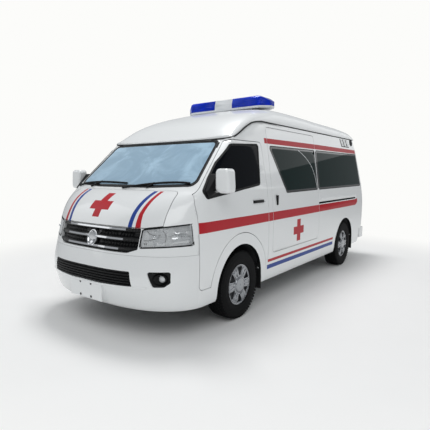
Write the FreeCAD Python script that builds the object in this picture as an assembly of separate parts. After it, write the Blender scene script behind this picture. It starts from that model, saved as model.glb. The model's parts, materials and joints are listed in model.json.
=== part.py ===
import FreeCAD, Part
import math
import os

V = FreeCAD.Vector

# Overall sizes of the body, in millimetres. Front faces -Y, +X is the left side, +Z is up.
body_length = 5380.0
body_width = 1880.0
body_height = 2250.0
half_length = body_length / 2
half_width = body_width / 2

# Walls, gaps and glass that many pieces share
wall = 45.0
roof_wall = 32.0
shut_gap = 6.0
seat_gap = 0.3
shut_line = 2.0
door_clearance = 14.0
glass_thickness = 6.0
mesh_depth = 30.0
door_skin = 28.0
corner_radius = 130.0
outline_radius = 45.0
window_radius = 28.0
sharp_radius = 1.0
overrun = 60.0
panel_thickness = 20.0
plate_thickness = 12.0
pillar_width = 42.0
frame_width = 26.0

# Axles, tyres and wheels
wheelbase = 3110.0
front_axle_y = -1500.0
rear_axle_y = front_axle_y + wheelbase
tyre_radius = 345.0
tyre_width = 195.0
tyre_facets = 64
wheel_x = 827.0
rim_radius = 203.0
rim_wall = 16.0
disc_thickness = 22.0
disc_offset = 40.0
cover_thickness = 10.0
hub_bore_radius = 32.0
hub_radius = 62.0
hub_length = 30.0
wheel_gap = 0.3
spoke_count = 6
rib_half_width = 8.0
rib_turn = 9.0
arch_radius = 414.0
arch_lip = 115.0
# Tyre across: place as a share of its half width, height as a share of the sidewall
tyre_shares = [(-0.86, 0.0), (-1.0, 0.45), (-0.95, 0.86), (-0.78, 0.985), (0.0, 1.0), (0.78, 0.985),
               (0.95, 0.86), (1.0, 0.45), (0.86, 0.0)]
# Rim barrel across, as shares of the tyre's half width
barrel_shares = (-0.90, 0.84)
cover_face_share = 0.78
# Wheel cover from rim to middle: radius as a share of the rim's, rise as a share of the cover's thickness
cover_shares = [(0.96, 0.0), (0.88, 0.9), (0.72, 1.3), (0.44, 0.5), (0.38, 0.5), (0.36, 1.7), (0.30, 2.0),
                (0.0, 2.2)]
# Openings of the wheel cover: radius as a share of the rim's, half width as a share of that radius
cover_window_shares = [(0.48, 0.10), (0.90, 0.27)]
rib_shares = (0.47, 0.83)
rib_rise_share = 1.6

# Front bumper with the flat pad that a number plate is screwed to
bumper_top_z = 757.0
plate_hole_radius = 7.0
plate_hole_pitch_x = 150.0
plate_hole_pitch_z = 120.0
plate_holes_z = 405.0
pad_half_width = 225.0
pad_rim = 20.0
pad_setback = 5.0

# Rear bumper
rear_bumper_low = 350.0
rear_bumper_high = 520.0
rear_bumper_front_y = 2385.0
rear_bumper_wall = 55.0
rear_bumper_corner = 120.0

# Grille, its bars and the plain oval badge
grille_top_z = 985.0
grille_corner = 14.0
bar_height = 16.0
bar_top_z = 969.0
bar_pitch = 82.0
louvre_height = 34.0
badge_half_width = 66.0
badge_half_height = 72.0
badge_z = 869.0
badge_rim = 11.0
slat_count = 6
slat_share = 0.4
bar_reach_shares = (0.42, 0.41, 0.38)

# Headlamps and fog lamps
lamp_corner = 22.0
lamp_rim = 9.0
rib_thickness = 4.0
bowl_wall = 3.0
bowl_depth = 70.0
low_bowl_radius = 66.0
side_bowl_radius = 34.0
fog_corner = 18.0
fog_radius = 40.0
fog_recess_radius = 54.0
fog_ring_wall = 5.0
# Reflector bowls: place across and height as shares of half width and height
low_bowl_shares = (0.715, 0.4075)
side_bowl_shares = (0.862, 0.4170)
lamp_rib_shares = (0.800, 0.4140)
fog_centre_shares = (0.793, 0.2535)

# Light bar on the roof
bar_y = -320.0
bar_half_length = 620.0
bar_half_depth = 150.0
bar_base_z = 2246.0
bar_base_thickness = 22.0
bar_lens_height = 120.0
bar_lens_wall = 4.0
bar_bevel = 110.0
bar_shoulder = 22.0
bar_end_slope = 120.0
bar_corner = 26.0
bar_centre_half = 130.0
bar_foot_x = 420.0
bar_foot = 40.0
bar_nose_share = 0.35
bar_shoulder_share = 0.45

# Hinge seats, rollers and the sliding door's rail
strap_thickness = 14.0
strap_width = 60.0
strap_reach = 22.0
gate_strap_x = 360.0
bonnet_strap_x = 500.0
roller_ys = (-700.0, 300.0)
rail_slot_z = 1055.0
rail_slot_height = 26.0
rail_slot_depth = 18.0
rail_slot_front_y = 510.0
rail_slot_rear_y = 2106.0
door_strap_shares = (0.365, 0.490)
bonnet_strap_y_share = -0.8200

# Handles and mirrors
handle_length = 210.0
handle_height = 30.0
handle_reach = 16.0
latch_width = 34.0
latch_height = 112.0
mirror_gap = 15.0
mirror_width = 150.0
mirror_depth = 110.0
mirror_height = 214.0
mirror_y = -1958.0
mirror_low_z = 1278.0
mirror_round = 40.0
mirror_front_round = 30.0
mirror_rear_round = 8.0
mirror_arm_radius = 18.0
handle_shares = (-0.434, 0.516)
latch_shares = (-0.275, 0.513)
mirror_foot_shares = [(-0.765, 0.552), (-0.772, 0.574), (-0.712, 0.650), (-0.688, 0.568)]
# Mirror head seen from the front: across and up, as shares of its width and height
mirror_head_shares = [(0.0, 0.10), (0.0, 1.0), (0.92, 1.0), (1.0, 0.30), (0.98, 0.0), (0.35, 0.0)]

# Steering knuckles and suspension
kingpin_x = 745.0
kingpin_radius = 26.0
backplate_radius = 128.0
plate_gap = 8.0
lower_arm_z = 222.0
arm_thickness = 26.0
arm_width = 44.0
arm_root_x = 330.0
arm_post = 60.0

# Chassis rails, rear axle and its springs
rail_x = 430.0
rail_width = 60.0
rail_height = 110.0
rail_front_y = -2080.0
rail_rear_y = 2480.0
axle_tube_radius = 42.0
diff_radius = 140.0
diff_half_width = 110.0
drum_width = 44.0
spring_x = 540.0
spring_width = 62.0
spring_thickness = 34.0
spring_half_length = 640.0
spring_drop = 90.0
shaft_radius = 34.0
bevel_share = 0.6
cross_member_share = 0.26

# Engine block, exhaust, fuel tank, mud flaps and wheelhouses
engine_half_width = 255.0
engine_front_y = -1610.0
engine_rear_y = -1040.0
engine_low_z = 300.0
engine_high_z = 800.0
pipe_x = 260.0
pipe_z = 462.0
pipe_radius = 24.0
silencer_y = -260.0
silencer_length = 560.0
silencer_radius = 82.0
tank_outer_x = 800.0
tank_front_y = -820.0
tank_length = 760.0
tank_low_z = 320.0
flap_inner_x = 705.0
flap_thickness = 6.0
flap_low_z = 217.0
flap_high_z = 500.0
front_house_x = 530.0
rear_house_x = 690.0
house_thickness = 6.0
house_low_z = 475.0

# Floor, partition and dashboard
floor_top_z = 620.0
floor_thickness = 50.0
dash_half_width = 770.0
dash_corner = 20.0
firewall_share = -0.8250
firewall_drop_share = 0.012
rear_floor_share = 0.9500
partition_share = -0.3370
partition_window_shares = [(-0.45, 0.58), (0.45, 0.58), (0.45, 0.78), (-0.45, 0.78)]
dashboard_shares = [(-0.8250, 0.420), (-0.8250, 0.535), (-0.735, 0.562), (-0.665, 0.550), (-0.648, 0.505),
                    (-0.670, 0.440), (-0.720, 0.410)]

# Steering wheel and column
driver_x = -400.0
wheel_ring_y = -1650.0
wheel_ring_z = 1185.0
wheel_ring_radius = 190.0
wheel_ring_tube = 15.0
steering_tilt = 38.0
hub_height = 44.0
column_length = 300.0
column_radius = 34.0

# Seats and bench
seat_width = 500.0
seat_depth = 480.0
seat_thickness = 130.0
seat_base_z = 900.0
seat_base_half = 800.0
seat_back_height = 640.0
seat_back_thickness = 120.0
seat_front_y = -1600.0
passenger_x0 = -90.0
passenger_x1 = 780.0
bench_depth = 430.0
bench_height = 430.0
bench_front_y = -250.0
bench_rear_y = 1950.0
cushion_thickness = 90.0

# Wipers: pivot, blade's tip and blade's other end seen from above, as shares of half width and half length
wiper_radius = 9.0
blade_radius = 6.0
blade_steps = 6
wiper_shares = [[(-0.554, -0.811), (0.012, -0.800), (-0.850, -0.786)],
                [(0.326, -0.816), (0.790, -0.774), (-0.008, -0.8195)]]

# Body seen from above at rising heights: height, front on the centre line, start of the side, half width,
# as shares of the body's height, half length, half length and half width
nose_shares = [
    (0.122, 0.960, 0.781, 0.965), (0.160, 0.982, 0.784, 0.985), (0.210, 0.997, 0.784, 0.992),
    (0.262, 1.000, 0.784, 0.998), (0.298, 0.992, 0.783, 1.000), (0.345, 0.977, 0.781, 1.000),
    (0.433, 0.952, 0.775, 0.997), (0.500, 0.923, 0.769, 0.985), (0.545, 0.881, 0.762, 0.973),
    (0.578, 0.823, 0.757, 0.963),
]
screen_shares = [
    (0.578, 0.823, 0.757, 0.963), (0.684, 0.716, 0.663, 0.928), (0.793, 0.608, 0.565, 0.891),
]
upper_shares = [
    (0.793, 0.608, 0.565, 0.891), (0.960, 0.598, 0.555, 0.820),
]
front_curve_power_share = 0.72
front_curve_steps = 10
rear_y_shares = [(0.122, 0.968), (0.40, 0.975), (0.53, 0.968), (0.79, 0.908), (0.96, 0.850)]

# Roof cap along the body: place, gutter height, height on the centre line, as shares of half length and height
roof_shares = [
    (-0.640, 0.780, 0.789), (-0.550, 0.810, 0.842), (-0.494, 0.842, 0.883), (-0.420, 0.880, 0.920),
    (-0.340, 0.895, 0.951), (-0.180, 0.895, 0.992), (-0.040, 0.895, 1.000), (0.420, 0.895, 0.990),
    (0.780, 0.895, 0.977), (0.840, 0.895, 0.962), (0.870, 0.895, 0.935),
]
gutter_bend_rows = 5
gutter_share = 0.895
gutter_inset = 10.0
# Roof cap across: place as a share of the half width there, drop as a share of the cap's rise
arch_shares = [(1.0, 1.0), (0.985, 0.75), (0.95, 0.52), (0.89, 0.33), (0.80, 0.18), (0.65, 0.08),
               (0.40, 0.025), (0.0, 0.0)]

# Places that bound the nose, the front third and the tail, as shares of the half length
nose_share = -0.80
front_share = -0.50
tail_share = 0.80

# Outlines in side view, as shares of the half length and the height
front_door_shares = [
    (-0.813, 0.194), (-0.813, 0.527), (-0.791, 0.598), (-0.707, 0.688), (-0.632, 0.765), (-0.577, 0.788),
    (-0.372, 0.790), (-0.355, 0.600), (-0.355, 0.194),
]
door_window_shares = [
    (-0.767, 0.548), (-0.776, 0.575), (-0.696, 0.671), (-0.594, 0.766), (-0.396, 0.778), (-0.411, 0.595),
]
sliding_door_shares = [(-0.314, 0.256), (-0.314, 0.868), (0.188, 0.868), (0.188, 0.256)]
front_glass_shares = [(-0.306, 0.779), (-0.176, 0.546), (0.179, 0.550), (0.179, 0.783)]
rear_glass_shares = [(0.197, 0.783), (0.197, 0.550), (0.899, 0.555), (0.853, 0.788)]
front_piece_shares = [(-1.100, 0.325), (-0.8145, 0.325), (-0.8145, 0.530), (-0.560, 0.770), (-0.560, 1.100),
                      (-1.100, 1.100)]

# Outlines in front view, as shares of the half width and the height
windscreen_shares = [(-0.850, 0.596), (-0.400, 0.588), (0.400, 0.588), (0.850, 0.596), (0.768, 0.786),
                     (-0.768, 0.786)]
pillar_shares = [(-0.860, 0.572), (0.860, 0.572), (0.850, 0.600), (0.768, 0.786), (-0.768, 0.786),
                 (-0.850, 0.600)]
tailgate_shares = [(-0.83, 0.236), (0.83, 0.236), (0.81, 0.550), (0.715, 0.880), (-0.715, 0.880),
                   (-0.81, 0.550)]
tailgate_glass_shares = [(-0.70, 0.560), (0.70, 0.560), (0.64, 0.800), (-0.64, 0.800)]
headlamp_shares = [(0.590, 0.3635), (0.975, 0.3740), (0.975, 0.4590), (0.590, 0.4365)]
headlamp_rear_share = -0.832
grille_shares = [(-0.583, 0.4370), (-0.583, 0.3600), (-0.480, 0.3445), (0.480, 0.3445), (0.583, 0.3600),
                 (0.583, 0.4370)]
lower_grille_shares = [(-0.575, 0.2190), (0.575, 0.2190), (0.550, 0.2800), (-0.550, 0.2800)]
fog_shares = [(0.697, 0.2820), (0.868, 0.2820), (0.868, 0.2400), (0.825, 0.2240), (0.745, 0.2240)]
tail_lamp_shares = [(0.865, 0.360), (0.985, 0.360), (0.965, 0.530), (0.865, 0.530)]

# Outline of the bonnet from above, as shares of the half width and half length
bonnet_shares = [(-0.745, -1.050), (0.745, -1.050), (0.765, -0.870), (0.745, -0.812), (0.400, -0.8285),
                 (-0.400, -0.8285), (-0.745, -0.812), (-0.765, -0.870)]


# Small makers of outlines and solids

def pick(table, height_share, column=1):
    """Value of a table column at a height share, on straight runs between its rows."""
    for low, high in zip(table, table[1:]):
        if height_share <= high[0]:
            part = (height_share - low[0]) / (high[0] - low[0])
            return low[column] + (high[column] - low[column]) * max(0.0, part)
    return table[-1][column]


def rounded_wire(points, radius):
    """Closed wire through the points, with each corner rounded."""
    edges = []
    ends = []
    count = len(points)
    for i in range(count):
        before, corner, after = points[i - 1], points[i], points[(i + 1) % count]
        to_before = (before - corner).normalize()
        to_after = (after - corner).normalize()
        half_angle = to_before.getAngle(to_after) / 2
        room = min(before.distanceToPoint(corner), after.distanceToPoint(corner)) * 0.48
        setback = min(radius / math.tan(half_angle), room)
        used = setback * math.tan(half_angle)
        bisector = (to_before + to_after).normalize()
        centre = corner + bisector * (used / math.sin(half_angle))
        ends.append((corner + to_before * setback, centre - bisector * used, corner + to_after * setback))
    for i in range(count):
        start, middle, end = ends[i]
        edges.append(Part.Arc(start, middle, end).toShape())
        edges.append(Part.LineSegment(end, ends[(i + 1) % count][0]).toShape())
    return Part.Wire(edges)


def prism(wire, direction, grow=0.0):
    """Solid from a flat closed wire, pushed along a vector. A grown wire is larger all round."""
    outline = wire.makeOffset2D(grow) if grow else wire
    return Part.Face(outline).extrude(direction)


def side_prism(shares, x0, x1, grow=0.0, radius=outline_radius):
    """Solid with an outline in side view, given as shares of half length and height, between two X places."""
    wire = rounded_wire([V(x0, y * half_length, z * body_height) for y, z in shares], radius)
    return prism(wire, V(x1 - x0, 0, 0), grow)


def front_prism(shares, y0, y1, grow=0.0, radius=outline_radius):
    """Solid with an outline in front view, given as shares of half width and height, between two Y places."""
    wire = rounded_wire([V(x * half_width, y0, z * body_height) for x, z in shares], radius)
    return prism(wire, V(0, y1 - y0, 0), grow)


def plan_prism(shares, z0, z1, grow=0.0, radius=outline_radius):
    """Solid with an outline from above, given as shares of half width and half length, between two heights."""
    wire = rounded_wire([V(x * half_width, y * half_length, z0) for x, y in shares], radius)
    return prism(wire, V(0, 0, z1 - z0), grow)


def box(x0, x1, y0, y1, z0, z1):
    """Box between places along each axis."""
    return Part.makeBox(x1 - x0, y1 - y0, z1 - z0, V(x0, y0, z0))


def rod_x(radius, x0, x1, y, z):
    """Cylinder along X between two places."""
    return Part.makeCylinder(radius, x1 - x0, V(x0, y, z), V(1, 0, 0))


def rod_y(radius, y0, y1, x, z):
    """Cylinder along Y between two places."""
    return Part.makeCylinder(radius, y1 - y0, V(x, y0, z), V(0, 1, 0))


def rod(start, end, radius):
    """Cylinder between two points."""
    way = end - start
    return Part.makeCylinder(radius, way.Length, start, way)


def mirrored(shape):
    """The same shape on the vehicle's other side."""
    return shape.mirror(V(0, 0, 0), V(1, 0, 0))


def turned_profile(points, centre):
    """Ring turned about an axis along X, from a closed outline of (x, radius) points."""
    wire = Part.makePolygon([V(centre.x + x, centre.y, centre.z + r) for x, r in points + points[:1]])
    return Part.Face(wire).revolve(centre, V(1, 0, 0), 360)


def faceted_ring(points, facets, centre):
    """Ring with flat facets about an axis along X, from a closed outline of (x, radius to a facet's middle)."""
    half_step = math.pi / facets
    rings = []
    for x, r in points:
        reach = r / math.cos(half_step)
        rings.append([V(centre.x + x, centre.y + reach * math.sin(half_step * (2 * i + 1)),
                        centre.z + reach * math.cos(half_step * (2 * i + 1))) for i in range(facets)])
    faces = []
    for near, far in zip(rings, rings[1:] + rings[:1]):
        for i in range(facets):
            corners = [near[i - 1], near[i], far[i], far[i - 1]]
            faces.append(Part.Face(Part.makePolygon(corners + corners[:1])))
    solid = Part.Solid(Part.makeShell(faces))
    return solid if solid.Volume > 0 else solid.reversed()


def largest(shape):
    """Largest solid of a shape, without the slivers that cutting leaves."""
    return max(shape.Solids, key=lambda solid: solid.Volume)


def write(name, *shapes):
    """Write a node's solids to its file."""
    solids = []
    for shape in shapes:
        solids.extend(shape.Solids)
    Part.makeCompound(solids).exportStep("parts/" + name + ".step")
    print(name, len(solids), "valid" if all(s.isValid() for s in solids) else "NOT VALID")


def along(points):
    """Places of points along the line through them, from zero to one."""
    places = [0.0]
    for a, b in zip(points, points[1:]):
        places.append(places[-1] + a.distanceToPoint(b))
    return [place / places[-1] for place in places]


def through(points, places):
    """Smooth curve through points at given places, the same for like curves so that lofts through them stay light."""
    curve = Part.BSplineCurve()
    curve.interpolate(Points=points, Parameters=places)
    return curve


# Body form

front_turns = [math.pi * i / front_curve_steps - math.pi / 2 for i in range(front_curve_steps + 1)]
front_curve = [(math.copysign(abs(math.sin(turn)) ** front_curve_power_share, math.sin(turn)), math.cos(turn))
               for turn in front_turns]
front_curve_places = along([V(x, y / 2, 0) for x, y in front_curve])
arch_curve = [(x, drop) for x, drop in arch_shares] + [(-x, drop) for x, drop in reversed(arch_shares[:-1])]
arch_curve_places = along([V(x, drop / 4, 0) for x, drop in arch_curve])


def plan_section(z, front, side, half, rear, inset):
    """Closed outline of the body at one height: bowed front, straight sides, rounded rear corners."""
    y_front = -front * half_length + inset
    y_side = -side * half_length + inset
    w = half * half_width - inset
    y_rear = rear * half_length - inset
    corner = corner_radius - inset / 2
    points = [V(w * x, y_side - (y_side - y_front) * y, z) for x, y in front_curve]
    curve = through(points, front_curve_places)
    diagonal = corner * (1 - math.sqrt(0.5))
    right = [V(-w, y_rear - corner, z), V(-w + diagonal, y_rear - diagonal, z), V(-w + corner, y_rear, z)]
    left = [V(-p.x, p.y, p.z) for p in right]
    return Part.Wire([
        curve.toShape(),
        Part.LineSegment(points[-1], left[0]).toShape(),
        Part.Arc(left[0], left[1], left[2]).toShape(),
        Part.LineSegment(left[2], right[2]).toShape(),
        Part.Arc(right[2], right[1], right[0]).toShape(),
        Part.LineSegment(right[0], points[0]).toShape(),
    ])


def wall_form(inset):
    """The body's outer form up to above the gutter, or its inside when inset by a wall."""
    stacks = []
    for table in (nose_shares, screen_shares, upper_shares):
        wires = [plan_section(z * body_height, front, side, half, pick(rear_y_shares, z), inset)
                 for z, front, side, half in table]
        stacks.append(Part.makeLoft(wires, True, len(wires) == 2))
    return stacks[0].fuse(stacks[1:]).removeSplitter()


def under_gutter(drop):
    """Everything below the gutter line, less a small drop."""
    points = [V(-body_width, y * half_length, gutter * body_height - drop) for y, gutter, crown in roof_shares]
    bend = points[:gutter_bend_rows]
    curve = Part.BSplineCurve()
    curve.interpolate(bend)
    front = V(-body_width, -body_length, bend[0].z)
    rear = V(-body_width, body_length, bend[-1].z)
    low_rear = V(-body_width, body_length, 0)
    low_front = V(-body_width, -body_length, 0)
    edges = [Part.LineSegment(front, bend[0]).toShape(), curve.toShape()]
    loop = [bend[-1], rear, low_rear, low_front, front]
    edges += [Part.LineSegment(a, b).toShape() for a, b in zip(loop, loop[1:])]
    return Part.Face(Part.Wire(edges)).extrude(V(body_width * 2, 0, 0))


def roof_form(inset):
    """Roof cap as one closed solid, or its inside when inset by the roof's wall."""
    wires = []
    rows = roof_shares[1:-1] if inset else roof_shares
    for y_share, gutter, crown in rows:
        low = gutter * body_height - inset
        high = crown * body_height - inset
        half = pick(screen_shares + upper_shares[1:], gutter, 3) * half_width - gutter_inset - inset
        points = [V(x * half, y_share * half_length, high - (high - low) * drop) for x, drop in arch_curve]
        curve = through(points, arch_curve_places)
        wires.append(Part.Wire([curve.toShape(), Part.LineSegment(points[-1], points[0]).toShape()]))
    return Part.makeLoft(wires, True, False)


def header_column():
    """Body outline just under the roof, pushed straight up, which rounds the roof's front edge."""
    z, front, side, half = screen_shares[-1]
    wire = plan_section(z * body_height - overrun, front, side, half, pick(rear_y_shares, z), seat_gap)
    return prism(wire, V(0, 0, body_height))


def wheel_space(x0, x1, axle_y, radius, grow=0.0):
    """Round space over a wheel, open downwards."""
    r = radius + grow
    return rod_x(r, x0, x1, axle_y, tyre_radius).fuse(
        box(x0, x1, axle_y - r, axle_y + r, -overrun, tyre_radius)).removeSplitter()


class Body:
    """Closed forms that every body panel is cut from."""

    def __init__(self):
        self.outer = wall_form(0.0).common(under_gutter(seat_gap))
        self.inner = wall_form(wall)
        self.shell = self.outer.cut(self.inner)
        self.glass_core = wall_form(glass_thickness)
        self.mesh_core = wall_form(mesh_depth)
        self.room = wall_form(wall + seat_gap)
        self.cabin = wall_form(wall + door_clearance)
        self.deep = wall_form(wall + strap_thickness)

    def pane(self, plug):
        """Flush sheet of glass or lens inside a plug."""
        return self.outer.common(plug).cut(self.glass_core)

    def seat(self, zone):
        """Hinge seat that reaches across a shut line, in the wall's inner layer."""
        return self.mesh_core.common(zone).cut(self.inner)

    def strap(self, zone, root):
        """Hinge strap on the walls' inside: it grows from the panel inside root and runs on behind the moving piece."""
        return self.outer.common(root).fuse(self.room.common(zone)).cut(self.deep)

    def back(self, plug):
        """Plate set back behind the skin inside a plug, down to the wall's inner face."""
        return self.mesh_core.common(plug).cut(self.inner)

    def front_layer(self, plug):
        """Layer between the skin and the set-back plate inside a plug."""
        return self.outer.common(plug).cut(self.mesh_core)

    def middle_layer(self, plug):
        """Layer between a pane's back and the set-back plate inside a plug."""
        return self.glass_core.common(plug).cut(self.mesh_core)


# Regions that split the shell into panels

def pillar_zone(grow):
    """Windscreen with the pillars beside it and their feet, in front view."""
    return front_prism(pillar_shares, -body_length, 0, grow)


def door_blank(grow=0.0):
    """Front door's region on the left side, clear of the wheel arch's lip and of the windscreen's pillar."""
    blank = side_prism(front_door_shares, half_width / 2, half_width + overrun, grow)
    arch = wheel_space(0, body_width, front_axle_y, arch_radius + arch_lip, -grow)
    return blank.cut([arch, pillar_zone(pillar_width - grow)])


def door_window(grow=0.0):
    """Window's region in the left front door, with the door's frame left round it."""
    blank = side_prism(door_window_shares, half_width / 2, half_width + overrun, grow, window_radius)
    return blank.cut(pillar_zone(pillar_width + frame_width - grow))


def headlamp_zone(grow=0.0):
    """Left headlamp's region, from the nose back to just before the door."""
    return front_prism(headlamp_shares, -body_length, headlamp_rear_share * half_length + grow, grow, lamp_corner)


def body_panels(body):
    """Shell below the gutter: bumper, front panel, side panels, bonnet, doors and tailgate."""
    nose_y = nose_share * half_length
    rear_y = tail_share * half_length
    wide = half_width + overrun
    nose = body.shell.common(box(-wide, wide, -body_length, front_share * half_length, 0, body_height))
    side = body.shell.common(box(0, wide, -body_length, body_length, 0, body_height))
    door_cut = door_blank(shut_gap)
    screen_cut = front_prism(windscreen_shares, -body_length, front_share * half_length)
    bonnet_cut = plan_prism(bonnet_shares, grille_top_z, screen_shares[0][0] * body_height + overrun, shut_gap)
    lamp_cut = headlamp_zone()
    grille_cut = front_prism(grille_shares, -body_length, nose_y, 0.0, grille_corner)
    lower_cut = front_prism(lower_grille_shares, -body_length, nose_y, 0.0, grille_corner)
    fog_cut = front_prism(fog_shares, -body_length, nose_y, 0.0, fog_corner)
    lamp_rear_cut = front_prism(tail_lamp_shares, rear_y, body_length, 0.0, lamp_corner)
    tail_cut = front_prism(tailgate_shares, rear_y, body_length, shut_gap)
    split_y = front_piece_shares[1][0] * half_length
    bumper_zone = box(-wide, wide, -body_length, split_y, 0, bumper_top_z)
    bumper_line = box(-wide, wide, -body_length, split_y, 0, bumper_top_z + shut_line)
    front_zone = side_prism(front_piece_shares, -wide, wide, 0.0, sharp_radius)
    rear_zone = box(-wide, wide, rear_bumper_front_y - seat_gap, body_length, 0, rear_bumper_high + seat_gap)
    holes = [rod_y(plate_hole_radius, -body_length, nose_y, sx * plate_hole_pitch_x / 2,
                   plate_holes_z + sz * plate_hole_pitch_z / 2) for sx in (-1, 1) for sz in (-1, 1)]

    bumper = nose.common(bumper_zone).cut([lower_cut, fog_cut, mirrored(fog_cut), door_cut, mirrored(door_cut)])
    pad_high = plate_holes_z + plate_hole_pitch_z / 2 + pad_rim
    pad_low = plate_holes_z - plate_hole_pitch_z / 2 - pad_rim
    pad = box(-pad_half_width, pad_half_width, -half_length + pad_setback, -half_length + pad_setback + wall * 2,
              pad_low, pad_high).cut(body.inner)
    write("front_bumper", bumper.fuse(pad).cut(holes))
    panel = nose.common(front_zone).cut([bumper_line, screen_cut, bonnet_cut, lamp_cut, mirrored(lamp_cut),
                                         grille_cut, door_cut, mirrored(door_cut)])
    door_y = front_door_shares[0][0] * half_length
    straps = []
    for share in door_strap_shares:
        z = share * body_height
        straps.append(body.seat(box(half_width / 2, wide, door_y - strap_reach - shut_gap, door_y - seat_gap,
                                    z - strap_width / 2, z + strap_width / 2)))
    lid_y = bonnet_strap_y_share * half_length
    x0 = bonnet_strap_x - strap_width / 2
    x1 = bonnet_strap_x + strap_width / 2
    straps.append(body.strap(box(x0, x1, lid_y - strap_reach * 2, lid_y + strap_reach, grille_top_z, body_height),
                             box(x0, x1, lid_y, lid_y + strap_reach, grille_top_z, body_height)))
    write("front_panel", largest(panel.fuse(straps + [mirrored(strap) for strap in straps])))
    bonnet_low = grille_top_z + shut_gap
    lid = nose.common(plan_prism(bonnet_shares, bonnet_low, screen_shares[0][0] * body_height + overrun))
    lamp_gap = headlamp_zone(shut_gap)
    write("bonnet", lid.cut([lamp_gap, mirrored(lamp_gap)]))

    arch_cuts = [wheel_space(half_width / 2, wide, y, arch_radius) for y in (front_axle_y, rear_axle_y)]
    glass_front_cut = side_prism(front_glass_shares, half_width / 2, wide, 0.0, window_radius)
    glass_rear_cut = side_prism(rear_glass_shares, half_width / 2, wide, 0.0, window_radius)
    sliding_cut = side_prism(sliding_door_shares, half_width / 2, wide, shut_gap)
    base = side.cut([front_zone, bumper_line, tail_cut, rear_zone, door_cut, glass_rear_cut, lamp_rear_cut] + arch_cuts)
    gate_z = tailgate_shares[3][1] * body_height
    x0 = gate_strap_x - strap_width / 2
    x1 = gate_strap_x + strap_width / 2
    strap = body.seat(box(x0, x1, rear_y, body_length, gate_z + seat_gap, gate_z + strap_reach + shut_gap))
    rail_slot = box(half_width - rail_slot_depth, wide, rail_slot_front_y, rail_slot_rear_y,
                    rail_slot_z - rail_slot_height / 2, rail_slot_z + rail_slot_height / 2)
    write("side_panel_left", largest(base.cut([sliding_cut, rail_slot]).fuse(strap)))
    write("side_panel_right", mirrored(largest(base.cut(glass_front_cut).fuse(strap))))
    slider = side.common(side_prism(sliding_door_shares, half_width / 2, wide)).cut(glass_front_cut)
    sill_low = sliding_door_shares[0][1] * body_height
    rollers = [box(half_width - wall - overrun + seat_gap, half_width - wall / 2, y, y + strap_width, sill_low,
                   floor_top_z - floor_thickness / 2) for y in roller_ys]
    write("sliding_door", slider.fuse(rollers))

    swing_room = wheel_space(0, half_width - door_skin, front_axle_y, arch_radius + arch_lip + shut_gap)
    door = side.common(door_blank()).cut([door_window(), swing_room])
    write("front_door_left", door)
    write("front_door_right", mirrored(door))
    gate = body.shell.common(front_prism(tailgate_shares, rear_y, body_length))
    write("tailgate", gate.cut(front_prism(tailgate_glass_shares, rear_y, body_length)))
    rear_lamp = side.common(front_prism(tail_lamp_shares, rear_y, body_length, -seat_gap, lamp_corner))
    write("tail_lamps", rear_lamp, mirrored(rear_lamp))


def body_glass(body):
    """Windscreen, side glass, door glass and tailgate glass."""
    wide = half_width + overrun
    rear_y = tail_share * half_length
    screen = front_prism(windscreen_shares, -body_length, front_share * half_length, -seat_gap)
    write("windscreen", body.pane(screen))
    front_pane = body.pane(side_prism(front_glass_shares, half_width / 2, wide, -seat_gap, window_radius))
    rear_pane = body.pane(side_prism(rear_glass_shares, half_width / 2, wide, -seat_gap, window_radius))
    write("side_glass", front_pane, rear_pane, mirrored(front_pane), mirrored(rear_pane))
    pane = body.pane(door_window(-seat_gap))
    write("door_glass_left", pane)
    write("door_glass_right", mirrored(pane))
    write("tailgate_glass", body.pane(front_prism(tailgate_glass_shares, rear_y, body_length, -seat_gap)))


def oval_plug(half_wide, half_high, z, y0, y1):
    """Oval prism along Y on the centre line."""
    along_x = half_wide > half_high
    ellipse = Part.Ellipse(V(0, y0, z), max(half_wide, half_high), min(half_wide, half_high))
    ellipse.Axis = V(0, 1, 0)
    ellipse.XAxis = V(1, 0, 0) if along_x else V(0, 0, 1)
    return Part.Face(Part.Wire([ellipse.toShape()])).extrude(V(0, y1 - y0, 0))


def grilles(body):
    """Grille with its louvres, its bright bars and the plain badge, and the lower grille with its slats."""
    nose_y = nose_share * half_length
    plug = front_prism(grille_shares, -body_length, nose_y, -seat_gap, grille_corner)
    badge = oval_plug(badge_half_width, badge_half_height, badge_z, -body_length, nose_y)
    badge_inside = oval_plug(badge_half_width - badge_rim, badge_half_height - badge_rim, badge_z, -body_length, nose_y)
    bars = [body.front_layer(badge).cut(body.outer.common(badge_inside).cut(body.glass_core))]
    louvres = []
    for i, reach_share in enumerate(bar_reach_shares):
        z = bar_top_z - bar_pitch * i
        half = half_width * reach_share
        bars.append(body.pane(box(-half, half, -body_length, nose_y, z - bar_height / 2, z + bar_height / 2)))
        louvre = plug.common(box(-half_width, half_width, -body_length, nose_y, z - louvre_height / 2,
                                 z + louvre_height / 2))
        louvres.append(body.middle_layer(louvre).cut(badge))
    write("grille", body.back(plug).fuse(louvres))
    write("grille_bars", bars[0].fuse(bars[1:]))

    lower = front_prism(lower_grille_shares, -body_length, nose_y, -seat_gap, grille_corner)
    layer = body.front_layer(lower)
    z_low = lower_grille_shares[0][1] * body_height
    z_high = lower_grille_shares[2][1] * body_height
    pitch = (z_high - z_low) / slat_count
    slats = [layer.common(box(-half_width, half_width, -body_length, nose_y, z_low + pitch * (i + slat_share),
                              z_low + pitch * (i + 1))) for i in range(slat_count)]
    write("lower_grille", body.back(lower).fuse(slats))


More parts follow.
